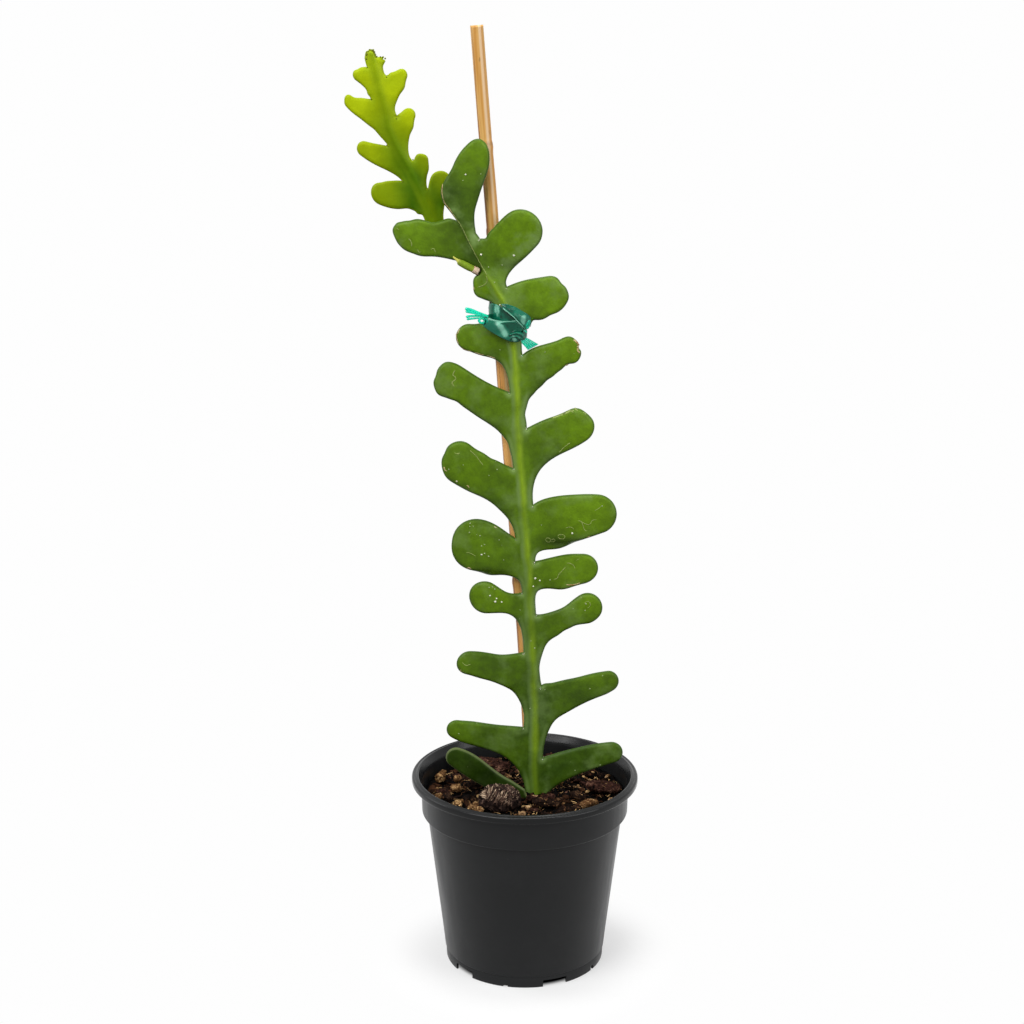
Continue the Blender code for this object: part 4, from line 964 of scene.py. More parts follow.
def side_of(points, path):
    """1 or -1 for points to the right or left of a line that runs upwards."""
    ends = np.roll(path, -1, axis=0)[:-1]
    middles = (path[:-1] + ends) / 2
    away = points[:, None] - middles
    nearest = np.argmin(np.hypot(away[:, :, 0], away[:, :, 1]), axis=1)
    run = (ends - path[:-1])[nearest]
    away = points - path[:-1][nearest]
    return np.where(run[:, 1] * away[:, 0] - run[:, 0] * away[:, 1] > 0, 1.0, -1.0)


def within(points, loop):
    """Which points lie inside a closed outline."""
    found = np.zeros(len(points), dtype=bool)
    x, z = points.T
    for (ax, az), (bx, bz) in zip(loop, np.roll(loop, 1, axis=0)):
        if az != bz:
            crosses = (az > z) != (bz > z)
            found ^= crosses & (x < (bx - ax) * (z - az) / (bz - az) + ax)
    return found


def inset_points(loop, amount):
    """The outline's points moved inwards, without those that come too near another part of it."""
    ahead = unit(np.roll(loop, -1, axis=0) - loop)
    behind = unit(loop - np.roll(loop, 1, axis=0))
    moved = loop + amount * sideways(unit(ahead + behind))
    keep = within(moved, loop) & (to_path(moved, loop, True) > 0.9 * amount)
    return moved[keep]


def spaced(points, gap):
    """Points left after those that crowd an earlier one are taken out."""
    kept = []
    seen = {}
    for x, z in points:
        cell = (math.floor(x / gap), math.floor(z / gap))
        near = [p for i in (-1, 0, 1) for j in (-1, 0, 1) for p in seen.get((cell[0] + i, cell[1] + j), [])]
        if all((x - p[0]) ** 2 + (z - p[1]) ** 2 > gap * gap for p in near):
            kept.append((x, z))
            seen.setdefault(cell, []).append((x, z))
    return kept


def blade_points(loop, rib, step):
    """Points of a blade's flat pattern: its outline first, then rows along margin and rib, then a fill."""
    rows = [inset_points(loop, amount) for amount in MARGIN_ROWS]
    along = np.array(smooth_route(rib, 0.9))
    across = sideways(unit(np.gradient(along, axis=0)))
    rows += [along + amount * across for amount in (0.0, 0.5, -0.5, 1.0, -1.0, 1.8, -1.8)]
    low, high = loop.min(axis=0), loop.max(axis=0)
    columns = np.arange(low[0], high[0] + step, step)
    for k, z in enumerate(np.arange(low[1], high[1] + step, step * 0.866)):
        rows.append(np.stack([columns + 0.5 * step * (k % 2), np.full(len(columns), z)], axis=1))
    points = np.concatenate(rows)
    points = points[within(points, loop)]
    points = points[to_path(points, loop, True) > OUTLINE_GAP]
    return np.concatenate([loop, np.array(spaced(points, POINT_GAP))])


def fine_noise(points, size, seed):
    """Smooth noise from -1 to 1 at many flat points, with bumps of about the given size."""
    shift = Vector((seed * 17.3, seed * 5.1, seed * 9.7))
    return np.array([noise(Vector((*point, 0.0)) / size + shift) for point in points])


def blade(name, loop, swells, rib, shape, material, replaces, step=FILL_STEP):
    """A flat stem with a round margin.

    shape gives half thickness, depth, tone, bloom and strength of the rib from the distances to margin
    and rib. Values that are the same all over may be given as one number.
    """
    loop = swell(fine_loop(loop, OUTLINE_STEP), swells)
    rib_line = np.array(smooth_route(rib, 1.0))
    ring = [(i, (i + 1) % len(loop)) for i in range(len(loop))]
    result = delaunay_2d_cdt(vectors(blade_points(loop, rib, step)), ring, [], 1, 1e-5)
    flat = np.array(result[0])
    edge = to_path(flat, loop, True)
    from_rib = to_path(flat, rib_line)
    half, depth, *values = shape(flat, edge, from_rib)
    lumps = 0.16 * fine_noise(flat, 8.0, 1)
    lumps += 0.06 * fine_noise(flat, 2.6, 2)
    lumps *= within_one(edge / 2.0)
    front = np.stack([flat[:, 0], depth - half + lumps, flat[:, 1]], axis=1)
    back = np.stack([flat[:, 0], depth + half + 0.8 * lumps, flat[:, 1]], axis=1)
    count = len(flat)
    faces, sides = [], set()
    for triangle in result[2]:
        faces.append(tuple(triangle))
        faces.append(tuple(count + i for i in reversed(triangle)))
        for i in range(3):
            sides.add((triangle[i], triangle[(i + 1) % 3]))
    for a, b in sorted(sides):
        if (b, a) not in sides:
            faces.append((b, a, count + a, count + b))
    heap = Heap()
    rib_side = from_rib * side_of(flat, rib_line)
    values = {key: np.tile(value * np.ones(count), 2)
              for key, value in zip(("tone", "bloom", "ribbed", "edge"), values + [edge])}
    heap.add(np.concatenate([front, back]), faces, rib=np.concatenate([rib_side, -rib_side]), **values)
    return new_piece(name, heap, material, replaces)


def blade_half(edge, from_rib, lobe_half, rib_half, rib_width, crest):
    """Half thickness of a blade from the distances to its margin and its rib."""
    round_off = np.sqrt(1.0 - (1.0 - within_one(edge / EDGE_ROUND)) ** 2)
    body = lobe_half * (0.7 + 0.3 * (1.0 - np.exp(-edge / 5.0)))
    body += (rib_half - lobe_half) * bell(from_rib, rib_width)
    body += crest * bell(from_rib, CREST_WIDTH)
    return np.maximum(0.12, round_off * body)


def lobe_fields(flat, from_rib, lobes, reach, base_tone):
    """The blade's depth and tone, blended from the leans and tones of the lobes nearby."""
    lean, shade, weights, tips, cup = np.zeros((5, len(flat)))
    weights += 1e-9
    for lobe in lobes:
        line = np.array([(lobe.axil.x, lobe.axil.y - 4.0), tuple(lobe.tip)])
        weight = bell(to_path(flat, line), LOBE_SPREAD)
        above = (flat[:, 1] - lobe.tip.y) * math.cos(lobe.rise) - 0.3 * lobe.radius
        cup += weight * LOBE_CURL * np.clip(above, 0.0, 12.0) ** 2
        lean += weight * lobe.lean
        shade += weight * (lobe.tone - base_tone)
        weights += weight
        from_tip = np.hypot(*(flat - np.array(lobe.tip)).T)
        tips += bell(from_tip, lobe.radius + 4.0)
    depth = lean / weights * np.minimum(from_rib / reach, 1.2) ** 1.6
    depth += cup / (weights + 0.05) * within_one(from_rib / 10.0)
    tone = base_tone + shade / (weights + 0.06) * within_one(from_rib / 14.0)
    return depth, within_one(tone + TIP_GLOW * np.minimum(tips, 1.0))


def stem_shape(flat, edge, from_rib):
    """The rib shows on the stem below the terminal lobe, and is brightest halfway up."""
    z = flat[:, 1]
    half = blade_half(edge, from_rib, 1.75, 3.3, 4.4, 0.6)
    depth, tone = lobe_fields(flat, from_rib, RIGHT_LOBES + LEFT_LOBES + [TERMINAL_LOBE], 34.0, 0.28)
    depth -= 1.6 * within_one((z - 372.0) / 24.0)
    depth += 0.7 * fine_noise(flat, 16.0, 3) * within_one((from_rib - 6.0) / 12.0)
    middle = within_one(1.0 - np.abs(z - 290.0) / 110.0)
    tone = tone + 0.42 * np.minimum(2.0 * middle, 1.0) * bell(from_rib, 7.0)
    tone += 0.45 * within_one((z - 410.0) / 20.0)
    fade = within_one((z - RIB_FADE[0]) / (RIB_FADE[1] - RIB_FADE[0]))
    bloom = 1.0 + 1.2 * fade * bell(z - 386.0, 14.0)
    return half, depth, within_one(tone), bloom, (1.0 - fade) * (0.75 + 0.5 * middle)


def wing_shape(flat, edge, from_rib):
    x = flat[:, 0]
    half = blade_half(edge, from_rib, 1.75, 2.4, 4.0, 0.0)
    depth = 1.2 + 3.6 * np.maximum(0.0, (-22.0 - x) / 24.0) ** 1.1
    # Painted shadow: the tone darkens towards the stem, beside the terminal lobe's margin. The bloom of 2.4
    # is partly the waxy bloom and partly a painted sheen.
    return half, depth, 0.3 + 0.7 * within_one((-26.0 - x) / 32.0), 2.4, 0.0


def shoot_shape(flat, edge, from_rib):
    """Palest towards the tip, with a deep green foot."""
    z = flat[:, 1]
    half = blade_half(edge, from_rib, 1.2, 2.1, 2.6, 0.2)
    _, tone = lobe_fields(flat, from_rib, SHOOT_LEFT + SHOOT_RIGHT, 30.0, 0.35)
    depth = SHOOT_DEPTH + 0.4 * np.sin(0.05 * (z - 390.0))
    depth += 0.5 * fine_noise(flat, 9.0, 5) * within_one(from_rib / 8)
    tone += np.clip((z - 440.0) / 55.0, -0.55, 0.45)
    tone += 0.45 * bell(from_rib, 4.0) * within_one((416.0 - z) / 12.0)
    return half, depth, within_one(tone), 1.0, 0.5


def basal_shape(flat, edge, from_rib):
    half = blade_half(edge, from_rib, 1.8, 2.2, 6.0, 0.0)
    return half, BASAL_DEPTH, 0.2 + 0.3 * within_one((-flat[:, 0] - 20.0) / 20.0), 1.0, 1.0


def shoot_outline(steps):
    """The whole shoot: neck, left side up, budding tip, right side down."""
    rib = vectors(SHOOT_RIB)
    neck, bud = vectors(SHOOT_NECK), vectors(SHOOT_BUD)
    left = side_outline(SHOOT_LEFT, neck[-1], steps, rib)
    right = side_outline(SHOOT_RIGHT, neck[0], steps, rib)
    return neck[1:] + left[::-1] + bud + right + neck[:1]


def make_stems(groups):
    """The main blade, its wing behind, the young shoot and the small shoot at the foot."""
    mature, young, basal = [stem_material(groups, *row) for row in STEM_LOOKS[:3]]
    wing = lobe_outline(BACK_WING, Vector((-20.5, 371.6)), Vector((-0.97, 0.31)), 16)
    wing = [spot for spot in wing if spot.x < -26.0 or spot.y > 375.0] + vectors(WING_FOOT)
    low = lobe_outline(BASAL_LOBE, Vector(BASAL_FOOT[0]), Vector((-0.93, 0.37)), 16) + vectors(BASAL_FOOT)
    return [
        blade("stem_blade", stem_outline(20), STEM_SWELLS, STEM_RIB, stem_shape, mature,
              ["main_stem"]),
        blade("stem_back_wing", wing, WING_SWELLS, BACK_WING_RIB, wing_shape, mature,
              ["main_stem"]),
        blade("young_shoot_blade", shoot_outline(14), SHOOT_SWELLS, SHOOT_RIB, shoot_shape, young,
              ["young_shoot"], 1.1),
        blade("basal_shoot_blade", low, [], BASAL_RIB, basal_shape, basal, ["basal_shoot"]),
    ]


# ---------------------------------------------------------------- marks on the stems

def skin_depth(trees, x, z, otherwise):
    """The y of the nearest skin seen from the front at (x, z), all in millimetres."""
    start, way = Vector((x * MM, -0.1, z * MM)), Vector((0.0, 1.0, 0.0))
    hits = [place.y for place in (tree.ray_cast(start, way)[0] for tree in trees) if place is not None]
    return min(hits) / MM if hits else otherwise


def seated(trees, x, z):
    """The place itself if skin lies there, or else one just inside the nearest margin."""
    if skin_depth(trees, x, z, None) is not None:
        return x, z
    start = Vector((x * MM, 0.0, z * MM))
    nearest = min((tree.find_nearest(start) for tree in trees), key=lambda found: found[3])[0]
    way = nearest - start
    way.y = 0.0
    place = nearest / MM + way.normalized() * 0.35
    return place.x, place.z


def add_scar(heap, trees, route, width, height, seed):
    """A thin uneven ridge of cork that follows the skin."""
    route = smooth_route(route, SCAR_STEP)
    last = len(route) - 1
    rings, depth = [], 0.0
    for i, place in enumerate(route):
        run = (route[min(i + 1, last)] - route[max(i - 1, 0)]).normalized()
        across = Vector((-run.y, run.x))
        waver = noise(Vector((i * 0.45, seed * 3.7, 0.0)))
        taper = min(1.0, 0.25 + 0.35 * min(i, last - i))
        half = 0.5 * width * taper * (1.0 + 0.5 * waver)
        place = place + across * 0.25 * width * noise(Vector((i * 0.3, seed * 1.9, 5.0)))
        place = Vector(seated(trees, place.x, place.y))
        depth = skin_depth(trees, place.x, place.y, depth)
        ring = []
        for offset, lift in SCAR_SECTION:
            point = place + across * offset * half
            level = skin_depth(trees, point.x, point.y, depth) if lift > -1.0 else depth
            if abs(level - depth) > 1.0:
                level = depth
            ring.append((point.x, level - height * lift * taper, point.y))
        rings.append(ring)
    heap.add(*loft(rings))


def add_dot(heap, trees, x, z, radius, lift=0.7):
    """A small round dome on the skin."""
    x, z = seated(trees, x, z)
    depth = skin_depth(trees, x, z, 0.0)
    rings = []
    for share, rise in ((1.0, -0.3), (1.0, 0.1), (0.72, 0.7), (0.3, 1.0)):
        turns = [circle(k, DOT_SIDES) for k in range(DOT_SIDES)]
        rings.append([(x + radius * share * cos, depth - radius * lift * rise, z + radius * share * sin)
                      for cos, sin in turns])
    heap.add(*loft(rings))


def add_tuft(heap, trees, x, z, chance, size):
    """A pinch of wool in a notch: a few crooked strands and knots."""
    depth = skin_depth(trees, x, z, 0.0)
    for _ in range(round(8 * size)):
        start = Vector((x + chance.uniform(-0.7, 0.7) * size, depth + chance.uniform(-0.2, 0.7),
                        z + chance.uniform(-0.5, 0.6) * size))
        reach = Vector((chance.uniform(-0.6, 0.6), chance.uniform(-0.9, 0.1), chance.uniform(-0.2, 0.9)))
        kink = Vector((chance.uniform(-0.2, 0.2), 0.0, chance.uniform(-0.2, 0.2)))
        route = [start, start + 0.5 * size * reach + kink, start + size * reach]
        thick = chance.uniform(0.09, 0.2)
        heap.add(*loft(tube(route, [thick, thick * 0.9, thick * 0.3], 6)))


def make_marks(groups, stems):
    """Scars, dots of sap and the wool in the notches."""
    trees = [surface(item) for item in stems]
    looks = {name: corky_material(groups, name, pale, brown) for name, pale, brown in (
        ("pale_scar", (160, 176, 100), (138, 158, 78)), ("tan_scar", (206, 186, 138), (156, 116, 66)),
        ("dried_sap", (244, 244, 226), (214, 206, 170)), ("pale_fleck", (186, 200, 150), (150, 168, 104)))}
    for look, scars, height, seed in (("pale_scar", PALE_SCARS, 0.12, 0), ("tan_scar", TAN_SCARS, 0.22, 40)):
        heap = Heap()
        for k, (width, route) in enumerate(scars):
            add_scar(heap, trees, route, width, height, seed + k)
        new_piece(look + "s", heap, looks[look])
    for name, look, low, high in (("sap_dots", "dried_sap", FLECK_RADIUS, 9.0),
                                  ("skin_flecks", "pale_fleck", 0.0, FLECK_RADIUS)):
        heap = Heap()
        for x, z, radius in WHITE_DOTS:
            if low <= radius < high:
                add_dot(heap, trees, x, z, radius)
        new_piece(name, heap, looks[look])
    heap = Heap()
    chance = random.Random(61)
    for lobes, inward in ((RIGHT_LOBES, -0.5), (LEFT_LOBES[:7], 0.5)):
        for lobe in lobes:
            add_tuft(heap, trees, lobe.axil.x + inward, lobe.axil.y - 0.6, chance, chance.uniform(0.6, 1.0))
    new_piece("areole_wool", heap, looks["dried_sap"])
    add_bud(groups)


def add_bud(groups):
    """The growing tip of the young shoot: a knot of folded buds with brown edges."""
    heap = Heap()
    chance = random.Random(17)
    points, faces = ball_form(2)
    eyes = [(lobe.axil.x, lobe.axil.y + 0.1, 0.34) for lobe in SHOOT_LEFT + SHOOT_RIGHT]
    for x, z, size in SHOOT_KNOBS + eyes:
        stretch = Vector((chance.uniform(0.9, 1.15), 1.0, chance.uniform(0.85, 1.15)))
        moved = []
        for point in points:
            lump = 1.0 + 0.22 * noise(point * 1.8 + Vector((x, 0.0, z)))
            moved.append((x + point.x * size * lump * stretch.x, SHOOT_DEPTH - 0.9 + point.y * size * lump,
                          z + point.z * size * lump * stretch.z))
        heap.add(moved, faces)
    bud = corky_material(groups, "bud_scales", (124, 136, 30), (70, 58, 20))
    new_piece("shoot_bud", heap, bud)


# ---------------------------------------------------------------- pot

def arc(centre, radius, start, end, steps):
    """Points of a circular arc between two angles in degrees, in the (r, z) plane."""
    points = []
    for k in range(steps + 1):
        angle = math.radians(start + (end - start) * k / steps)
        points.append((centre[0] + radius * math.cos(angle), centre[1] + radius * math.sin(angle)))
    return points


def pot_profile():
    """Wall, lip and base, from the underside's middle out, up, over the lip and down inside."""
    foot_top = FOOT_HEIGHT - 0.2
    outer = [(0, 0), (PAD_RADIUS - 0.4, 0), (PAD_RADIUS, 0.3), (PAD_RADIUS + 1.0, foot_top - 0.6),
             (PAD_RADIUS + 1.6, foot_top), (FOOT_RADIUS - 1.9, foot_top), (FOOT_RADIUS - 1.4, foot_top - 0.5),
             (FOOT_RADIUS - 1.2, 0.3), (FOOT_RADIUS - 0.9, 0)]
    outer += arc((FOOT_RADIUS - 0.5, 0.5), 0.5, -90, 0, 4)
    outer += [(FOOT_RADIUS + 0.22, FOOT_HEIGHT - 0.5), (FOOT_RADIUS + 0.1, FOOT_HEIGHT - 0.15),
              (FOOT_RADIUS + 0.12, FOOT_HEIGHT + 0.15)]
    outer += arc((BODY_RADIUS_FOOT - 0.2, FOOT_HEIGHT + 0.75), 0.25, -60, 0, 3)
    for k in range(1, 9):
        share = k / 8
        outer.append((BODY_RADIUS_FOOT + share * (BODY_RADIUS_TOP - BODY_RADIUS_FOOT),
                      FOOT_HEIGHT + 1.0 + share * (COLLAR_FOOT - FOOT_HEIGHT - 1.6)))
    outer += arc((BODY_RADIUS_TOP + 0.7, COLLAR_FOOT - 0.7), 0.7, 180, 90, 4)
    outer += arc((COLLAR_RADIUS_FOOT - 0.7, COLLAR_FOOT + 0.8), 0.8, -90, 0, 6)
    outer += [(COLLAR_RADIUS_FOOT + 0.3, COLLAR_FOOT + 8.0), (COLLAR_RADIUS_TOP - 0.1, LIP_UNDERSIDE - 1.0)]
    outer += arc((COLLAR_RADIUS_TOP + 0.8, LIP_UNDERSIDE + 0.1), 0.8, 180, 90, 4)
    outer += [(RIM_RADIUS - 1.7, LIP_UNDERSIDE + 0.9), (RIM_RADIUS - 1.3, LIP_UNDERSIDE + 0.5)]
    lip = arc((RIM_RADIUS - 0.8, LIP_UNDERSIDE + 0.8), 0.8, -130, 0, 5)
    lip += arc((RIM_RADIUS - 1.1, RIM_TOP - 1.5), 1.1, 0, 88, 6)
    lip += [(RIM_RADIUS - 1.55, RIM_TOP - 0.62), (RIM_RADIUS - 1.9, RIM_TOP - 0.55)]
    lip += arc((RIM_RADIUS - 3.0, RIM_TOP - 0.8), 0.8, 60, 150, 5)
    floor = foot_top + WALL
    inner = [(RIM_RADIUS - 4.3, RIM_TOP - 1.8), (COLLAR_RADIUS_TOP - WALL + 0.5, LIP_UNDERSIDE + 0.8),
             (COLLAR_RADIUS_TOP - WALL, LIP_UNDERSIDE - 1.0), (COLLAR_RADIUS_FOOT - WALL, COLLAR_FOOT + 2.0),
             (BODY_RADIUS_TOP - WALL, COLLAR_FOOT - 0.5), (BODY_RADIUS_FOOT - WALL + 0.2, floor + 0.6),
             (BODY_RADIUS_FOOT - WALL - 0.6, floor), (PAD_RADIUS + 0.2, floor), (PAD_RADIUS - 1.0, WALL),
             (0, WALL)]
    return outer + lip + inner


def add_box(heap, width, depth, height, radius, bottom, degrees):
    """A box that straddles the foot ring at one bearing, measured from the front towards +X."""
    turn = Matrix.Rotation(math.radians(degrees), 3, "Z")
    points = [turn @ Vector((i * width / 2, -radius + j * depth / 2, bottom + (k + 1) * height / 2))
              for i in (-1, 1) for j in (-1, 1) for k in (-1, 1)]
    heap.add(points, [(0, 1, 3, 2), (4, 6, 7, 5), (0, 4, 5, 1), (2, 3, 7, 6), (0, 2, 6, 4), (1, 5, 7, 3)])


def add_plug(heap, x, y, radius, low, high, sides=20):
    """A round peg between two heights."""
    turns = [circle(k, sides) for k in range(sides)]
    heap.add(*loft([[(x + radius * cos, y + radius * sin, z) for cos, sin in turns] for z in (low, high)]))


def cut_away(piece, cutter):
    """Takes one closed form out of another, and removes it."""
    modifier = piece.modifiers.new("cut", "BOOLEAN")
    modifier.operation = "DIFFERENCE"
    modifier.object = cutter
    modifier.solver = "EXACT"
    graph = bpy.context.evaluated_depsgraph_get()
    mesh = bpy.data.meshes.new_from_object(piece.evaluated_get(graph))
    piece.modifiers.clear()
    piece.data = mesh
    mesh.shade_smooth()
    mesh.set_sharp_from_angle(angle=math.radians(32))
    bpy.data.objects.remove(cutter, do_unlink=True)


def make_pot(groups):
    """The pot turned in one piece, with notches and slots cut in its foot and holes in its base."""
    heap = Heap()
    heap.add(*turned(pot_profile(), POT_SEGMENTS))
    pot = new_piece("nursery_pot_shell", heap, pot_material(groups), ["nursery_pot"])
    cuts = Heap()
    notch_width = 2 * FOOT_RADIUS * math.sin(math.radians(NOTCH_WIDTH_DEG / 2))
    step = 360 / FOOT_NOTCHES
    for i in range(FOOT_NOTCHES):
        bearing = NOTCH_TURN + step * i
        tall = SHALLOW_HEIGHT if i == SHALLOW_SLOT else SLOT_SIZE
        add_box(cuts, notch_width, 6, NOTCH_HEIGHT + 2, FOOT_RADIUS - 0.5, -2, bearing)
        add_box(cuts, SLOT_SIZE, 6, tall + 2, FOOT_RADIUS - 0.5, -2, bearing + step / 2)
        angle = math.radians(bearing + step / 2)
        add_plug(cuts, DRAIN_CIRCLE * math.sin(angle), -DRAIN_CIRCLE * math.cos(angle), DRAIN_RADIUS, 3, 9)
    cut_away(pot, placed("cuts", heap_mesh("cuts", cuts)))


# ---------------------------------------------------------------- cane

def make_cane(groups):
    """A bamboo stake: slightly flattened between its node rings, with a hollow cut end."""
    route = smooth_route(CANE_ROUTE, 2.0)
    rings, grain, marks, cut, side = [], [], [], [], []
    frames = tube(route, [1.0] * len(route), CANE_SIDES)
    for point, ring in zip(route, frames):
        bulge, mark = 0.0, 0.0
        for height in CANE_NODES:
            bulge += NODE_RING * hill(point.z - height, 2.0)
            bulge -= NODE_WAIST * hill(point.z - height - 3.2, 1.3)
            mark += hill(point.z - height - 1.4, 0.9)
        for k, spot in enumerate(ring):
            out = spot - point
            cos, sin = circle(k, CANE_SIDES)
            flutes = 0.05 * noise(Vector((3 * cos, 3 * sin, point.z / 60)))
            flutes += 0.035 * math.sin(9 * (2 * math.pi * k / CANE_SIDES) + 0.02 * point.z)
            rings.append(point + out * (CANE_RADIUS + bulge + flutes))
            side.append(out.x)
            grain.append((CANE_RADIUS * MM * cos, CANE_RADIUS * MM * sin, point.z * MM))
            marks.append(mark * (0.6 + 0.4 * noise(Vector((4 * cos, 4 * sin, 7)))))
            cut.append(0.0)
    _, faces = loft([rings[k * CANE_SIDES:(k + 1) * CANE_SIDES] for k in range(len(route))], caps=False)
    top, along = route[-1], (route[-1] - route[-2]).normalized()
    last = len(rings) - CANE_SIDES
    for radius, drop in ((0.94, -0.12), (0.8, 0.05), (0.52, 0.1), (0.44, -1.2), (0.36, -4.0), (0.001, -4.4)):
        start = len(rings)
        for k in range(CANE_SIDES):
            out = rings[last + k] - top
            ragged = 0.12 * noise(Vector((k * 0.9, radius * 9, 3)))
            rings.append(top + out * radius + along * (drop - 0.25 + ragged))
            side.append(0.0)
            grain.append((0.001 * k * 0.1, radius * 0.002, 0.3 * radius))
            marks.append(0.0 if radius > 0.45 else 0.9)
            cut.append(1.0 if radius > 0.45 else 0.3)
        for k in range(CANE_SIDES):
            j = (k + 1) % CANE_SIDES
            before = start - CANE_SIDES
            faces.append((before + k, before + j, start + j, start + k))
    faces += [tuple(range(CANE_SIDES))[::-1], tuple(range(len(rings) - CANE_SIDES, len(rings)))]
    heap = Heap()
    heap.add(rings, faces, node_mark=marks, cut_end=cut, side=side, grain=grain)
    new_piece("bamboo_stake", heap, bamboo_material(groups), ["bamboo_cane"])


# ---------------------------------------------------------------- potting mix

def soil_relief(x, y):
    """Height of the mix's surface: low heaps, clods and grains."""
    heaps = 0.55 * math.sin(0.17 * x + 0.6) * math.cos(0.15 * y - 0.4)
    spot = Vector((x, y, 0.0))
    clods = 1.3 * noise(spot / 6.5) + 1.1 * abs(noise(spot / 2.9 + Vector((4, 0, 0))))
    grains = 0.5 * noise(spot / 1.3) + 0.22 * noise(spot / 0.6)
    return SOIL_LEVEL - 0.8 + heaps + clods + grains


def make_soil_body(groups):
    """The whole bed of mix inside the pot, with its uneven top."""
    floor = FOOT_HEIGHT - 0.2 + WALL + 0.3
    side = [(0, WALL + 0.3), (PAD_RADIUS - 1.4, WALL + 0.3), (PAD_RADIUS - 0.2, floor),
            (BODY_RADIUS_FOOT - WALL - 1.2, floor), (BODY_RADIUS_FOOT - WALL - 0.4, floor + 1.0),
            (BODY_RADIUS_TOP - WALL - 0.6, COLLAR_FOOT - 0.3), (SOIL_RADIUS - 0.4, COLLAR_FOOT + 2.5)]
    top = [(SOIL_RADIUS * (SOIL_RINGS - k) / SOIL_RINGS, SOIL_LEVEL) for k in range(SOIL_RINGS + 1)]
    points, faces = turned(side + top, SOIL_SEGMENTS)
    shaped, hollow = [], []
    for x, y, z in points:
        on_top = z > SOIL_LEVEL - 0.5
        z = soil_relief(x, y) if on_top else z
        # hollow holds painted shade: low places of the top are painted darker, high ones lighter.
        hollow.append(clamp(0.5 + (z - SOIL_LEVEL) / 3.4) if on_top else 0.5)
        shaped.append((x, y, z))
    heap = Heap()
    heap.add(shaped, faces, hollow=hollow)
    peat = soil_material(groups, "potting_mix", (3, 2, 2), (9, 7, 6), (36, 24, 17), 700.0, 0.9)
    new_piece("peat_bed", heap, peat, ["potting_mix"])


def ball_form(detail):
    """Points and faces of a unit ball."""
    bm = bmesh.new()
    bmesh.ops.create_icosphere(bm, subdivisions=detail, radius=1.0)
    points = [vert.co.copy() for vert in bm.verts]
    faces = [tuple(vert.index for vert in face.verts) for face in bm.faces]
    bm.free()
    return points, faces


def random_shift(rng):
    """A far place in the noise, so that no two lumps are alike."""
    return Vector([rng.uniform(-50, 50) for _ in range(3)])


def squared(point, power):
    """A point of a ball moved towards a box."""
    return Vector([math.copysign(abs(value) ** power, value) for value in point])


def add_lump(heap, form, place, size, turn, rng, rough, **values):
    """A knocked-about lump, stretched to its sizes and turned."""
    points, faces = form
    shift = random_shift(rng)
    shaped = []
    for point in points:
        dent = 1.0 + rough * noise(point * 1.4 + shift) + 0.5 * rough * noise(point * 3.7 + shift)
        worn = squared(point, 0.8) * dent
        shaped.append(Vector(place) + turn @ Vector([worn[k] * size[k] / 2 for k in range(3)]))
    heap.add(shaped, faces, **values)


def random_turn(rng, tilt):
    """A full spin about the upright and a tilt either way."""
    spin = Matrix.Rotation(rng.uniform(0, 2 * math.pi), 3, "Z")
    nod, roll = [Matrix.Rotation(rng.uniform(-tilt, tilt), 3, axis) for axis in "XY"]
    return spin @ (nod @ roll)


def soil_spot(rng, limit=51.0):
    """A place on the mix, no farther from the middle than the limit."""
    while True:
        x, y = rng.uniform(-limit, limit), rng.uniform(-limit, limit)
        if math.hypot(x, y) < limit:
            return x, y


def make_crumbs(crumbs):
    """Crumbs of peat and bark, chips and splinters strewn over the mix, and root fibres among them."""
    rng = random.Random(71)
    heap = Heap()
    fine, plain = ball_form(2), ball_form(1)
    for _ in range(CRUMBS):
        x, y = soil_spot(rng)
        size = rng.uniform(0.7, 2.4)
        shade = clamp(rng.gauss(0.1, 0.12))
        if rng.random() < 0.05:
            shade = rng.uniform(0.6, 1.0)
        add_lump(heap, plain, (x, y, soil_relief(x, y) + 0.15 * size),
                 (size, size * rng.uniform(0.6, 1.0), size * rng.uniform(0.5, 0.9)),
                 random_turn(rng, 0.8), rng, 0.5, shade=shade)
    for _ in range(CHIPS):
        x, y = soil_spot(rng)
        length = rng.uniform(2.5, 6.0)
        shade = clamp(rng.gauss(0.24, 0.15))
        add_lump(heap, fine, (x, y, soil_relief(x, y) + 0.3),
                 (length, length * rng.uniform(0.35, 0.7), length * rng.uniform(0.18, 0.4)),
                 random_turn(rng, 0.5), rng, 0.5, shade=shade)
    for _ in range(SPLINTERS):
        x, y = soil_spot(rng)
        length = rng.uniform(2.0, 5.5)
        add_lump(heap, plain, (x, y, soil_relief(x, y) + 0.5),
                 (length, rng.uniform(0.3, 0.8), rng.uniform(0.2, 0.5)),
                 random_turn(rng, 0.5), rng, 0.4, shade=rng.uniform(0.55, 1.0))
    new_piece("peat_crumbs", heap, crumbs, ["potting_mix"])
    make_fibres(rng, crumbs)


def make_fibres(rng, crumbs):
    """Thin roots that wander over the mix."""
    fibres = Heap()
    for _ in range(FIBRES):
        x, y = soil_spot(rng, 50.0)
        heading = rng.uniform(0, 2 * math.pi)
        route = []
        for _ in range(FIBRE_POINTS):
            route.append(Vector((x, y, soil_relief(x, y) + rng.uniform(0.2, 1.0))))
            heading += rng.uniform(-0.7, 0.7)
            x += FIBRE_STRIDE * math.cos(heading)
            y += FIBRE_STRIDE * math.sin(heading)
            if math.hypot(x, y) > 51.5:
                break
        if len(route) > 2:
            radius = rng.uniform(0.06, 0.16)
            fibres.add(*loft(tube(route, [radius] * len(route), 4)), shade=rng.uniform(0.3, 0.95))
    new_piece("root_fibres", fibres, crumbs, ["potting_mix"])


# ---------------------------------------------------------------- loose pieces

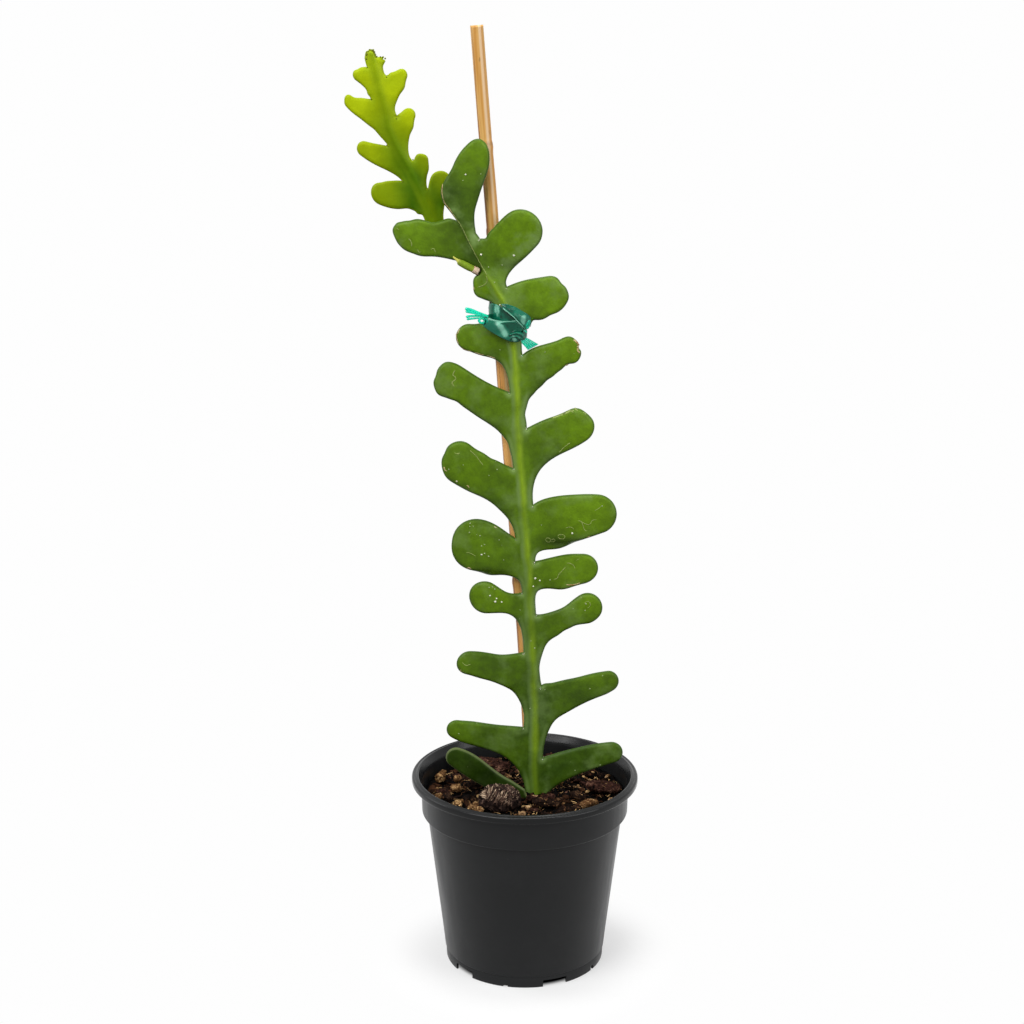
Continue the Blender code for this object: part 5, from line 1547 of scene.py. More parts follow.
def worn_copy(node, cuts, coarse, fine, wide, grain_axis=None):
    """Points, faces and painted hollow shade of a rough lump in a solid's place, its faces divided and worn.

    coarse and fine are the depths of the wear, wide the size of the coarse dents. grain_axis is a
    direction along which the fine wear runs in ridges.
    """
    bm = bmesh.new()
    bm.from_mesh(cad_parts[node].data)
    bmesh.ops.remove_doubles(bm, verts=bm.verts, dist=1e-6)
    bmesh.ops.triangulate(bm, faces=bm.faces)
    for _ in range(cuts):
        bmesh.ops.subdivide_edges(bm, edges=bm.edges, cuts=1, use_grid_fill=True)
        bmesh.ops.smooth_vert(bm, verts=bm.verts, factor=0.3,
                              use_axis_x=True, use_axis_y=True, use_axis_z=True)
    bmesh.ops.triangulate(bm, faces=bm.faces)
    bm.normal_update()
    seed = sum(ord(letter) for letter in node)
    shift = Vector((seed * 3.7 % 91, seed * 1.3 % 47, seed * 2.9 % 67))
    points, hollow = [], []
    for vert in bm.verts:
        spot = vert.co / MM
        near = spot.copy()
        if grain_axis is not None:
            near -= 0.86 * near.dot(grain_axis) * grain_axis
        dent = noise(spot / wide + shift)
        ridge = 1.0 - 2.0 * abs(noise(near / (0.28 * wide) + shift))
        pits = noise(near / (0.12 * wide) + shift)
        points.append(spot + vert.normal * (coarse * dent + fine * (0.6 * ridge + 0.4 * pits)))
        # Painted shade: dents and the grooves between ridges are painted darker.
        hollow.append(clamp(0.5 + 0.35 * dent + 0.35 * ridge))
    faces = [tuple(vert.index for vert in face.verts) for face in bm.faces]
    bm.free()
    return points, faces, hollow


LUMPS = [
    # node, material, coarse, fine, wide, grain bearing in degrees or None, squeeze, nodules, their shade
    ("bark_slab", "red_bark", 0.6, 0.55, 2.6, -28, 1, 26, 0.34),
    ("cork_knob_left", "tan_cork", 1.1, 0.7, 2.2, None, 0.74, 46, 0.74),
    ("cork_knob_front", "tan_cork", 0.9, 0.6, 1.8, None, 0.74, 26, 0.66),
    ("cork_crumb", "tan_cork", 0.9, 0.6, 2, None, 0.76, 30, 0.66),
    ("cork_lump", "tan_cork", 1, 0.7, 2.2, None, 0.78, 34, 0.6),
    ("bark_lump_left", "dark_bark", 1, 0.7, 2.8, 10, 0.95, 22, 0.3),
    ("cork_ball", "tan_cork", 0.8, 0.6, 1.8, None, 0.78, 40, 0.84),
    ("cork_chunk", "tan_cork", 1.2, 0.9, 2.4, None, 0.86, 46, 0.68),
    ("red_flake_middle", "red_bark", 0.3, 0.4, 2.6, -10, 0.95, 8, 0.4),
    ("red_flake_right", "red_bark", 0.3, 0.4, 2.6, 10, 0.95, 8, 0.36),
    ("bark_strip", "dark_bark", 0.5, 0.6, 3, 14, 1, 26, 0.52),
    ("folded_chip", "dark_bark", 0.5, 0.5, 2.6, -8, 0.95, 16, 0.5),
    ("rough_chip", "tan_cork", 0.9, 0.7, 2.4, 20, 0.85, 34, 0.56),
    ("bark_heap_back", "red_bark", 1.6, 1.1, 3.6, -24, 0.86, 60, 0.3),
    ("bark_crumb_back", "red_bark", 0.8, 0.6, 2, None, 0.9, 10, 0.34),
    ("pale_sliver_right", "pale_wood", 0.3, 0.3, 2, 70, 0.55, 4, 0.8),
    ("pale_sliver_front", "pale_wood", 0.3, 0.3, 2, 62, 0.55, 4, 0.7),
    ("pale_sliver_middle", "pale_wood", 0.3, 0.3, 2, -28, 0.5, 3, 0.8),
    ("pale_sliver_foot", "pale_wood", 0.3, 0.3, 2, 4, 0.6, 3, 0.8),
    ("bark_lump_front", "dark_bark", 0.8, 0.7, 2.6, -64, 0.9, 20, 0.34),
    ("pale_grit_front", "pale_wood", 0.5, 0.5, 1.4, None, 0.8, 8, 0.95),
    ("pale_grit_low", "pale_wood", 0.5, 0.5, 1.4, None, 0.8, 8, 0.8),
    ("bark_chip_front", "dark_bark", 0.7, 0.6, 2.4, 10, 0.95, 18, 0.4),
    ("bark_chip_back", "dark_bark", 0.7, 0.6, 2.4, 30, 0.95, 14, 0.3),
    ("bark_chip_right", "dark_bark", 0.6, 0.5, 2.2, -20, 0.95, 12, 0.36),
]
# name, clefts, body and ridges as colours, fineness of the grain, depth of the relief
LOOSE_LOOKS = [
    ("red_bark", (4, 2, 1), (56, 34, 28), (136, 100, 82), 620, 0.9),
    ("dark_bark", (2, 1, 1), (32, 21, 16), (130, 96, 68), 560, 0.8),
    ("tan_cork", (8, 4, 2), (110, 78, 48), (212, 176, 126), 760, 0.9),
    ("pale_wood", (70, 46, 30), (182, 146, 106), (232, 206, 172), 760, 0.7),
    ("husk_fibre", (3, 2, 2), (46, 34, 31), (142, 116, 102), 620, 0.9),
]
LARGE_LUMPS = ("bark_slab", "bark_heap_back", "bark_strip")
HUSK_MIDDLE = Vector((-13.4, -22.0, 97.8))
HUSK_SIZE = (11.0, 7.4, 7.6)
HUSK_DOME = Vector((-8.6, -22.6, 101.2))
HUSK_DOME_SIZE = (4.9, 4.2, 3.6)


def add_nodules(heap, tree, middle, reach, count, size, shade, rng, lowest=-0.15):
    """Small knobs stuck all over the top and sides of a lump."""
    form = ball_form(1)
    for _ in range(count):
        way = Vector((0.0, 0.0, -1.0))
        while way.z <= lowest:
            way = Vector([rng.gauss(0, 1) for _ in range(3)]).normalized()
        place = tree.ray_cast((middle + way * reach) * MM, -way)[0]
        if place is None:
            continue
        bulk = size * rng.uniform(0.5, 1.3)
        tone = clamp(rng.gauss(shade, 0.14))
        sizes = (bulk, bulk * rng.uniform(0.6, 1.0), bulk * rng.uniform(0.6, 1.0))
        add_lump(heap, form, place / MM, sizes, random_turn(rng, 1.5), rng, 0.5, shade=tone)


def strand(heap, tree, x, z, reach, slope, thick, shade, rng):
    """A short fibre lying on a lump's front, rising at a slope in degrees."""
    route = []
    for k in range(4):
        along = reach * (k / 3 - 0.5)
        px = x + along * math.cos(math.radians(slope)) + rng.uniform(-0.08, 0.08)
        pz = z + along * math.sin(math.radians(slope))
        place = tree.ray_cast(Vector((px, -60.0, pz)) * MM, Vector((0.0, 1.0, 0.0)))[0]
        if place is not None:
            route.append(place / MM + Vector((0.0, -0.1 - 0.25 * math.sin(math.pi * k / 3), 0.05)))
    if len(route) > 2 and all((b - a).length < 3.0 for a, b in zip(route, route[1:])):
        radii = [thick * share for share in (0.55, 1.0, 0.9, 0.4)][:len(route)]
        heap.add(*loft(tube(route, radii, 6)), shade=shade)


def make_husk_body(look):
    """A broad swelling, ridged and pitted, with a smaller dome on its right shoulder."""
    heap = Heap()
    for middle, size, wide, seed, detail in ((HUSK_MIDDLE, HUSK_SIZE, 3.4, 3.0, 5),
                                             (HUSK_DOME, HUSK_DOME_SIZE, 1.6, 9.0, 4)):
        points, faces = ball_form(detail)
        shaped, hollow = [], []
        for point in points:
            spot = Vector([point[k] * size[k] for k in range(3)])
            dent = noise(spot / wide + Vector((seed, 0.0, 0.0)))
            ridge = 1.0 - 2.0 * abs(noise(Vector((spot.x + 0.6 * spot.z, spot.y, 0.35 * spot.z)) / 1.3))
            pit = noise(spot / 0.7 + Vector((0.0, seed, 0.0)))
            shaped.append(middle + spot + point * (0.9 * dent + 0.35 * ridge + 0.3 * pit))
            # Painted shade: dents and the grooves between ridges are painted darker.
            hollow.append(clamp(0.5 + 0.4 * dent + 0.4 * ridge))
        heap.add(shaped, faces, hollow=hollow)
    return new_piece("worn_husk_lump", heap, look, ["husk_lump"])


def make_husk(look, crumbs):
    """The big husk: its worn body, rows of pale fibres, a torn crust and knobs all over."""
    rng = random.Random(29)
    tree = surface(make_husk_body(look))
    heap = Heap()
    for row in range(HUSK_ROWS):
        for k in range(HUSK_COLUMNS):
            x = -22.8 + 0.8 * k + rng.uniform(-0.35, 0.35) + 0.3 * row
            z = 106.2 - 0.6 * row - 0.2 * k + rng.uniform(-0.3, 0.3)
            if rng.random() < 0.8 - 0.03 * row:
                strand(heap, tree, x, z, rng.uniform(0.9, 2.0), rng.uniform(48, 74), rng.uniform(0.12, 0.22),
                       rng.uniform(0.45, 0.95) - 0.03 * row, rng)
    for _ in range(HUSK_TUFTS):
        strand(heap, tree, rng.uniform(-24.4, -20.5), rng.uniform(100.6, 103.2), rng.uniform(1.6, 3.0),
               rng.uniform(0, 30), rng.uniform(0.2, 0.36), rng.uniform(0.75, 1.0), rng)
    for _ in range(HUSK_TUFTS):
        x = rng.uniform(-20.2, -13.0)
        foot = Vector((x, -21.5 + rng.uniform(-1.5, 0.5), 103.6 + 0.14 * (x + 20.0)))
        tip = foot + Vector((rng.uniform(-0.9, 0.9), rng.uniform(-0.6, 0.2), rng.uniform(1.0, 2.4)))
        heap.add(*loft(tube([foot, (foot + tip) / 2 + Vector((0.2, 0.0, 0.1)), tip], [0.3, 0.22, 0.08], 6)),
                 shade=rng.uniform(0.6, 0.85))
    add_nodules(heap, tree, HUSK_DOME, 9.0, DOME_NODULES, 0.62, 0.6, rng, -0.4)
    add_nodules(heap, tree, HUSK_MIDDLE, 16.0, HUSK_NODULES, 0.7, 0.26, rng, -0.3)
    new_piece("husk_fibres", heap, crumbs, ["husk_lump"])


def make_small_bark(looks):
    """Bits of bark and cork strewn between the larger pieces."""
    rng = random.Random(47)
    form, bare = ball_form(3)
    taken = [(-13.0, -22.0, 11.0), (4.0, 0.0, 7.0)]
    for node, *_ in LUMPS:
        corners = [Vector(corner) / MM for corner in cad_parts[node].bound_box]
        middle = sum(corners, Vector()) / 8
        taken.append((middle.x, middle.y, 0.38 * (corners[6].xy - corners[0].xy).length))
    heaps = {"dark_bark": Heap(), "red_bark": Heap(), "tan_cork": Heap()}
    for _ in range(SMALL_BARK):
        x, y = soil_spot(rng, 50.5)
        size = rng.uniform(1.8, 5.2)
        if any(math.hypot(x - px, y - py) < reach + 0.3 * size for px, py, reach in taken):
            continue
        taken.append((x, y, 0.32 * size))
        look = rng.choices(("dark_bark", "red_bark", "tan_cork"), (0.42, 0.3, 0.28))[0]
        shift = random_shift(rng)
        turn = random_turn(rng, 0.6)
        bulk = (size / 2, size / 2 * rng.uniform(0.45, 0.9), size / 2 * rng.uniform(0.3, 0.65))
        place = Vector((x, y, soil_relief(x, y) + 0.5 * bulk[2]))
        points, hollow = [], []
        for point in form:
            dent = noise(point * 1.5 + shift)
            along = Vector((point.x * 1.3, point.y * 4.0, point.z * 4.0))
            ridge = 1.0 - 2.0 * abs(noise(along + shift))
            worn = squared(point, 0.75)
            worn *= 1.0 + 0.4 * dent + 0.14 * ridge + 0.1 * noise(point * 6.0 + shift)
            points.append(place + turn @ Vector([worn[k] * bulk[k] for k in range(3)]))
            # Painted shade: darker in dents and on the underside, lighter on top and on ridges.
            hollow.append(clamp(0.42 + 0.3 * point.z + 0.35 * dent + 0.3 * ridge))
        heaps[look].add(points, bare, hollow=hollow)
    for look, heap in heaps.items():
        new_piece("small_" + look, heap, looks[look])


def make_loose_pieces(groups, crumbs):
    """The larger bits lying on the mix, each in its own solid's place, and the small ones between them."""
    looks = {name: soil_material(groups, name, *row) for name, *row in LOOSE_LOOKS}
    rng = random.Random(83)
    nodules = Heap()
    for node, look, coarse, fine, wide, bearing, squeeze, count, shade in LUMPS:
        axis = None
        if bearing is not None:
            angle = math.radians(bearing)
            axis = Vector((math.cos(angle), math.sin(angle), 0.0))
        points, faces, hollow = worn_copy(node, 4 if node in LARGE_LUMPS else 3, coarse, fine, wide, axis)
        middle = sum(points, Vector()) / len(points)
        if squeeze < 1.0:
            flat = axis or Vector((1.0, 0.0, 0.0))
            along = squeeze if bearing is None else 1.0
            points = [middle + squeeze * (p - middle) + (along - squeeze) * (p - middle).dot(flat) * flat
                      - Vector((0.0, 0.0, 0.3)) for p in points]
        heap = Heap()
        heap.add(points, faces, hollow=hollow)
        lump = new_piece("worn_" + node, heap, looks[look], [node])
        reach = max((p - middle).length for p in points) + 1.0
        size = 0.95 if count > 20 else 0.7
        add_nodules(nodules, surface(lump), middle, reach, count, size, shade, rng)
    new_piece("lump_nodules", nodules, crumbs)
    husk_crumbs = crumb_material(groups, "husk_crumbs", (14, 9, 9), (104, 80, 68), (208, 182, 154))
    make_husk(looks["husk_fibre"], husk_crumbs)
    make_small_bark(looks)


# ---------------------------------------------------------------- tie

TIE_MIDDLE = (-7.6, 3.5)
UPPER_WRAP = [
    (2.4, -2.4, 343, 347.2), (2.3, 3, 342.8, 347), (0.8, 8.2, 343, 348), (-3.2, 11.8, 343.4, 350),
    (-8, 12.7, 343, 352.3), (-13.5, 12.1, 344.5, 353.4), (-17.4, 9, 347, 354.2), (-18.2, 4.5, 348, 354.2),
    (-17.7, 1.2, 346.2, 354.4), (-16, -1.4, 345.6, 354.6), (-13.6, -3.4, 345.2, 354.1),
    (-11.2, -4.7, 345, 353.1), (-7.4, -5, 344.8, 350), (-4.3, -5, 344.6, 347.4),
]
LOWER_WRAP = [
    (-1.6, -4.6, 336.6, 342.6), (0.2, -1.8, 337, 342.6), (0.5, 2.5, 337.2, 342.6), (-0.6, 7.6, 337.8, 343.2),
    (-4, 11.6, 338.8, 344.6), (-8.6, 12.9, 340.2, 346.2), (-13.5, 12.6, 342, 348),
    (-18.2, 9.2, 344.4, 347.4), (-20, 3, 345.2, 347.8), (-20.7, -1, 345.6, 348.2),
    (-20.4, -3, 345.2, 348.6),
]
# Painted highlights and painted shadows on the tape in front, partly also where it is pulled thin and pale
# and where it lies deep in layers:
# from (x, z) to (x, z), reach to either side, and how far it is pulled (0 deep shade, 1 pale highlight)
UPPER_PAINTED_LIGHT = [
    (-10.2, 351.6, -6, 346.6, 3.4, 0.05), (-14.4, 352.6, -14.2, 351.2, 1.9, 1.2),
    (-12.3, 353.6, -12, 348, 0.9, 0.1), (-14.6, 354.4, -14, 348.8, 0.9, 0.8),
    (-16.6, 353.5, -16.4, 347, 1.1, 0.22),
]
BELLY_PAINTED_LIGHT = [
    (-10.5, 353.8, -6.5, 351.8, 2.2, 0.22), (-4.6, 350.2, -2.2, 346.8, 2.2, 0.54),
    (-0.9, 348.2, -1.7, 345.4, 2, 0.95), (1.2, 348.4, 0.9, 345.4, 0.8, 0.4),
    (-5.6, 349.3, -0.3, 343.4, 0.42, 0), (-11.4, 353.2, -5.4, 348.4, 0.35, 0.9),
    (-5.4, 348.4, -0.3, 342.4, 0.3, 0.9),
]
LOWER_PAINTED_LIGHT = [
    (-18, 345.8, -16.2, 344.2, 4, 0.5), (-8, 344.6, -5.4, 342.4, 4.2, 0.12),
    (-13.4, 345.9, -9.9, 340, 2.3, 0.95), (-21.2, 344, -9.6, 337.2, 1, 0.5),
    (-20, 348, -18.4, 347.6, 0.8, 0.9), (-18.4, 347.4, -12.2, 346.3, 0.5, 0.92),
    (-12.2, 346.3, -4.8, 346.5, 0.45, 0.9), (-4.6, 346.4, -0.8, 342.6, 0.45, 0.8),
    (-12.2, 345.4, -5.6, 345.6, 0.4, 0.06),
]
KNOT_PAINTED_LIGHT = [(-5.9, 338.4, -5.4, 336.9, 1.5, 1)]
# Folds of the knot, as curves of (x, z) with how far each stands out
KNOT_FOLDS = [
    (0.5, [(-10, 339.6), (-8.2, 341.2), (-5, 342.2), (-1.8, 342.3), (-0.2, 342.2)]),
    (0.45, [(-9.4, 338.2), (-7.6, 340), (-4.8, 340.7), (-2.4, 340.2), (-1.2, 338.8)]),
    (0.35, [(-8, 337.4), (-6.8, 338.9), (-4.9, 339.2), (-3.4, 338.4), (-2.8, 337)]),
    (0.4, [(-1.4, 341.6), (-0.9, 340.2), (-1.2, 338.6), (-2, 337.2)]),
]
# Rows of the upper band in front: top edge, belly, fold and the hem rolled under it
BELLY = [
    [(-12.2, -4.5, 354.8), (-9.9, -4.8, 354.8), (-7.2, -4.9, 354.1), (-4.5, -4.9, 353),
     (-1.9, -4.7, 351.4), (0.4, -4.1, 349.9), (1.9, -3.2, 348.6), (2.7, -2.2, 347.2)],
    [(-11.7, -5, 353.9), (-9.9, -5.6, 353.5), (-7.8, -6.2, 352.7), (-5.6, -6.9, 351.6),
     (-3.6, -7.2, 350.1), (-1.6, -6.8, 348.6), (0.3, -5.6, 346.9), (1.8, -3.6, 345)],
    [(-11.3, -5, 352.9), (-10.2, -5.7, 352.1), (-8.7, -6.4, 351.1), (-7.2, -6.9, 349.9),
     (-5.7, -7.1, 348.7), (-4.2, -7.1, 347), (-2.3, -6.6, 344.9), (-0.3, -5.4, 342.7)],
    [(-11.2, -4.4, 353.1), (-10, -4.8, 352.5), (-8.4, -5.2, 351.6), (-6.8, -5.5, 350.5),
     (-5.2, -5.6, 349.3), (-3.6, -5.6, 347.7), (-1.7, -5.2, 345.6), (0.4, -4.2, 343.4)],
]
# Rows of the lower band in front; a crease runs down it from left to right
FRONT_BAND = [
    [(-19.5, -2.6, 348.2), (-18.1, -3.9, 347.4), (-15.8, -5.2, 346.6), (-12.1, -5.4, 346),
     (-8.3, -5.4, 345.9), (-4.5, -5.6, 346.2), (-2.9, -5.2, 344.8), (-1.2, -4.4, 342.6)],
    [(-19.7, -3.4, 348.8), (-18.2, -4.7, 347.9), (-15.9, -6.2, 347.1), (-12.1, -6.6, 346.5),
     (-8.3, -6.4, 346.4), (-4.5, -6.4, 346.7), (-2.8, -6, 345.3), (-0.9, -5, 342.9)],
    [(-20.4, -3.7, 346.8), (-19.4, -4.9, 345.9), (-17.2, -6.2, 344.9), (-13.6, -7.7, 343.9),
     (-9.9, -6.8, 342.8), (-6.5, -6.3, 342.4), (-4.8, -6.3, 341.6), (-3, -5.6, 340.2)],
    [(-21.6, -3.4, 344.9), (-21, -4.2, 343.9), (-18.9, -5.2, 342.2), (-16, -6.2, 340.5),
     (-12.2, -7.4, 338.6), (-9.1, -7, 337.1), (-7.6, -6.4, 336.5), (-6.1, -5.6, 336)],
    [(-21.2, -2.7, 345.2), (-20.6, -3.4, 344.3), (-18.7, -4.2, 342.8), (-15.9, -5.2, 341.1),
     (-12.2, -5.6, 339.2), (-9, -5.6, 337.8), (-7.4, -5.4, 337.2), (-5.8, -5, 336.8)],
]
# Ends of rolled tape, a small loop and short stumps: places, radii at them, pull and steps between them
LOOP = [math.radians(31 * k - 20) for k in range(13)]
TIE_ROLLS = [
    ([(-18.4, -4.4, 348.9), (-21.3, -4.9, 349.9), (-24.3, -5, 351), (-27.4, -4.9, 352.1),
      (-30.2, -4.7, 352.5)], (0.4, 0.5, 0.62, 0.74, 0.92), 0.45),
    ([(-18.4, -4.6, 348.3), (-21.3, -5.1, 349.1), (-24.3, -5.2, 350), (-27.4, -5.1, 350.8),
      (-29.9, -4.8, 351.3)], (0.4, 0.46, 0.56, 0.66, 0.78), 0.38),
    ([(-20.6, -3.4, 348.5), (-23.4, -3.5, 348.7), (-25.6, -3.4, 348.7), (-27.6, -3.2, 348.6),
      (-29.8, -2.9, 348.1)], (0.35, 0.5, 0.55, 0.6, 0.72), 0.42),
    ([(-20.6, -3.6, 347.9), (-23.2, -3.7, 347.7), (-25.4, -3.6, 347.5), (-27.4, -3.4, 347.3),
      (-29.4, -3.1, 347)], (0.35, 0.45, 0.5, 0.55, 0.62), 0.36),
    ([(-21.8 + 1.3 * math.cos(turn), -4.6 - 0.04 * k, 346.6 + 1.1 * math.sin(turn))
      for k, turn in enumerate(LOOP)],
     (0.5, 0.6, 0.72, 0.66, 0.55, 0.62, 0.74, 0.7, 0.58, 0.52, 0.6, 0.6, 0.5), 0.36, 4),
    ([(-22, -3.3, 347.9), (-20.3, -4.3, 347.7), (-19, -4.9, 346.6), (-19.4, -4.8, 345.4)],
     (0.35, 0.5, 0.5, 0.3), 0.4),
    ([(-0.9, -5.2, 341.6), (0, -5.2, 341.4), (0.7, -5, 340.6)], (0.3, 0.4, 0.25), 0.6),
]
FLAP = [[(-0.4, -5, 346.6), (1.2, -4.6, 346.8), (2.5, -3.6, 346.6)],
        [(-0.2, -5.4, 344.8), (1, -5, 344.6), (2.3, -3.9, 344.2)],
        [(-0.1, -4.8, 342.6), (0.6, -4.6, 342.3), (1.5, -3.9, 342.5)]]
# Upper and lower edge of the pleated fan, from the knot outwards
FAN_EDGES = [
    [(-1.8, 0.2, 338.6), (-0.2, 1.6, 337.3), (1.3, 2.8, 336.4), (3.6, 3.6, 335), (6.6, 4, 333.2)],
    [(-3, 0.2, 336.2), (-2.4, 1.6, 334.9), (-1.6, 2.8, 333.7), (-0.1, 3.6, 332.1), (1.3, 4, 330.3)],
]
PLEATS = 11
ROLL_SIDES = 14
STUB_SIDES = 36


def curve_points(points, parts, soft=1.0):
    """A curve through the points, equal parts between neighbours; less soft lies flatter between them."""
    spots = vectors(points)
    route = []
    for i in range(len(spots) - 1):
        for t in [k / parts for k in range(parts)]:
            route.append(spots[i].lerp(spots[i + 1], t).lerp(bend(spots, i, t), soft))
    return route + [spots[-1]]


def curve_values(values, parts):
    """Values that run smoothly through the given ones, as the points of a curve do."""
    return [point.x for point in curve_points([(value, 0, 0) for value in values], parts)]


def line_distance(x, z, line):
    """Distance in the front plane from a point to a line between two places."""
    x0, z0, x1, z1 = line
    long_x, long_z = x1 - x0, z1 - z0
    share = ((x - x0) * long_x + (z - z0) * long_z) / max(long_x ** 2 + long_z ** 2, 1e-9)
    share = clamp(share)
    return math.hypot(x - x0 - share * long_x, z - z0 - share * long_z)


def painted_light_at(spot, painted_lights, base):
    """How far the tape is pulled at a point: its value of painted light and shade."""
    value = base + 0.1 * noise(spot / 2.0)
    for x0, z0, x1, z1, reach, aim in painted_lights:
        near = clamp((1.0 - line_distance(spot.x, spot.z, (x0, z0, x1, z1)) / reach) / 0.75)
        value += (aim - value) * near * near * (3.0 - 2.0 * near)
    return value


def add_sheet(heap, rows, thick=0.16, parts=(5, 5), crumple=0.0, painted_lights=(), base=0.36, soft=1.0):
    """A thin closed sheet through rows of points, all of one length."""
    rows = [curve_points(row, parts[1], soft) for row in rows]
    columns = [curve_points(column, parts[0], soft) for column in zip(*rows)]
    wide, high = len(columns), len(columns[0])
    front, back = [], []
    for k in range(wide):
        for r in range(high):
            along = columns[min(k + 1, wide - 1)][r] - columns[max(k - 1, 0)][r]
            across = columns[k][min(r + 1, high - 1)] - columns[k][max(r - 1, 0)]
            normal = along.cross(across).normalized()
            spot = columns[k][r]
            spot = spot + normal * crumple * noise(Vector((spot.x, spot.y, 2.2 * spot.z)) / 2.4)
            front.append(spot + normal * thick / 2)
            back.append(spot - normal * thick / 2)
    count = wide * high
    faces = []
    for k in range(wide - 1):
        for r in range(high - 1):
            a, b = k * high + r, (k + 1) * high + r
            faces.append((a, b, b + 1, a + 1))
            faces.append((count + a + 1, count + b + 1, count + b, count + a))
    rim = [k * high for k in range(wide)] + [(wide - 1) * high + r for r in range(1, high)]
    rim += [k * high + high - 1 for k in range(wide - 2, -1, -1)] + list(range(high - 2, 0, -1))
    for a, b in zip(rim, rim[1:] + rim[:1]):
        faces.append((a, b, count + b, count + a))
    heap.add(front + back, faces, pull=[painted_light_at(spot, painted_lights, base) for spot in front + back])


def add_ribbon(heap, stations, crumple=0.1, painted_lights=()):
    """A band of tape from stations of (x, y, lowest z, highest z), bowed out a little in the middle."""
    low = [(x, y, z) for x, y, z, _ in stations]
    high = [(x, y, z) for x, y, _, z in stations]
    middle = []
    for x, y, z, top in stations:
        out = Vector((x - TIE_MIDDLE[0], y - TIE_MIDDLE[1])).normalized()
        middle.append((x + 0.35 * out.x, y + 0.35 * out.y, (z + top) / 2))
    add_sheet(heap, [low, middle, high], crumple=crumple, painted_lights=painted_lights)


def add_roll(heap, points, radii, pull, parts=6):
    """Tape rolled into a thin cord, with round ends."""
    route = curve_points(points, parts)
    sizes = curve_values(radii, parts)
    last = len(route) - 1
    for k in range(len(route)):
        from_end = min((route[k] - route[0]).length, (route[k] - route[last]).length)
        share = min(1.0, from_end / (1.2 * sizes[k]))
        sizes[k] *= max(0.12, math.sqrt(1.0 - (1.0 - share) ** 2))
    rings = tube(route, sizes, ROLL_SIDES)
    tone = [pull + 0.18 * noise(spot / 1.4) for ring in rings for spot in ring]
    heap.add(*loft(rings), pull=tone)


def make_tie():
    """Stretched tape twice round stem and cane, knotted at both sides, with its ends sticking out."""
    band = tape_material("teal_tape", (0, 70, 50), (20, 120, 92), (138, 210, 182), 0.1)
    heap = Heap()
    add_ribbon(heap, UPPER_WRAP, 0.15, UPPER_PAINTED_LIGHT)
    add_ribbon(heap, LOWER_WRAP, 0.15)
    add_sheet(heap, BELLY, parts=(7, 7), crumple=0.03, painted_lights=BELLY_PAINTED_LIGHT, soft=0.55)
    add_roll(heap, [(x, y - 0.25, z - 0.15) for x, y, z in BELLY[2]], [0.16] + [0.24] * 6 + [0.16], 0.95)
    add_roll(heap, BELLY[0], [0.14] * 8, 0.55)
    add_sheet(heap, FRONT_BAND, parts=(7, 7), crumple=0.03, painted_lights=LOWER_PAINTED_LIGHT, soft=0.5)
    add_roll(heap, FRONT_BAND[1], [0.16] + [0.22] * 6 + [0.16], 0.95)
    add_knot(heap)
    new_piece("tie_band", heap, band, ["plastic_tie"])
    ends = Heap()
    add_tie_ends(ends)
    # The ends are coloured brighter, partly as painted light for light shining through the thin tape onto its
    # shaded pleats.
    bright = tape_material("teal_tape_ends", (0, 168, 138), (34, 244, 208), (170, 252, 234), 0.6)
    new_piece("tie_ends", ends, bright, ["plastic_tie"])


def add_knot(heap):
    """The bunched knot at the right, raised in curved folds."""
    points, faces = ball_form(5)
    folds = [(high, curve_points([(x, 0.0, z) for x, z in line], 3)) for high, line in KNOT_FOLDS]
    shaped, painted_lights = [], []
    for point in points:
        spot = Vector((-4.9, -5.7, 338.9)) + Vector((4.2 * point.x, 1.7 * point.y, 3.0 * point.z))
        spot += point * 0.25 * noise(point * 2.2)
        raised, hidden = 0.0, 0.0
        for high, line in folds:
            far, below = [min(line_distance(spot.x, spot.z + lift, (a.x, a.z, b.x, b.z))
                              for a, b in zip(line, line[1:])) for lift in (0.0, 0.75)]
            raised = max(raised, high * hill(far, 0.42))
            hidden = max(hidden, hill(below, 0.4))
        spot += Vector((0.2 * point.x, min(0.0, point.y), 0.35 * point.z)) * 1.5 * raised
        shaped.append(spot)
        # Painted light: folds that stand out are painted lighter, tape just below a fold is painted in
        # shadow, and the knot's stroke adds a painted highlight.
        painted_lights.append(painted_light_at(spot, KNOT_PAINTED_LIGHT, 0.36 + 0.5 * raised) - 0.4 * hidden)
    heap.add(shaped, faces, pull=painted_lights)
    lump_points = len(heap.points)
    add_lump(heap, ball_form(3), (-19.8, -3.2, 347.4), (3.0, 2.4, 2.0), Matrix.Identity(3),
             random.Random(5), 0.3)
    heap.values["pull"] += [0.5] * (len(heap.points) - lump_points)
    add_sheet(heap, [[(-20.4, -2.8, 348.6), (-18.4, -1.4, 349.2), (-15.4, 1.0, 349.6)],
                     [(-20.4, -3.2, 346.8), (-18.4, -2.2, 346.4), (-15.4, 0.4, 345.6)]], base=0.2)


def add_tie_ends(heap):
    """Two ends of rolled tape and a small loop at the left, a pleated fan and a loose flap at the right."""
    for roll in TIE_ROLLS:
        add_roll(heap, *roll)
    add_sheet(heap, FLAP, 0.12, (5, 5), 0.15, base=0.25)
    rows = []
    for k in range(PLEATS):
        share = k / (PLEATS - 1)
        fold = 0.24 if k % 2 else -0.24
        rows.append([Vector(a).lerp(Vector(b), share) + Vector((0, fold * (0.5 + 0.25 * i), 0))
                     for i, (a, b) in enumerate(zip(*FAN_EDGES))])
    add_sheet(heap, rows, 0.12, (3, 5), 0.05, base=0.62)


# ---------------------------------------------------------------- cut stub

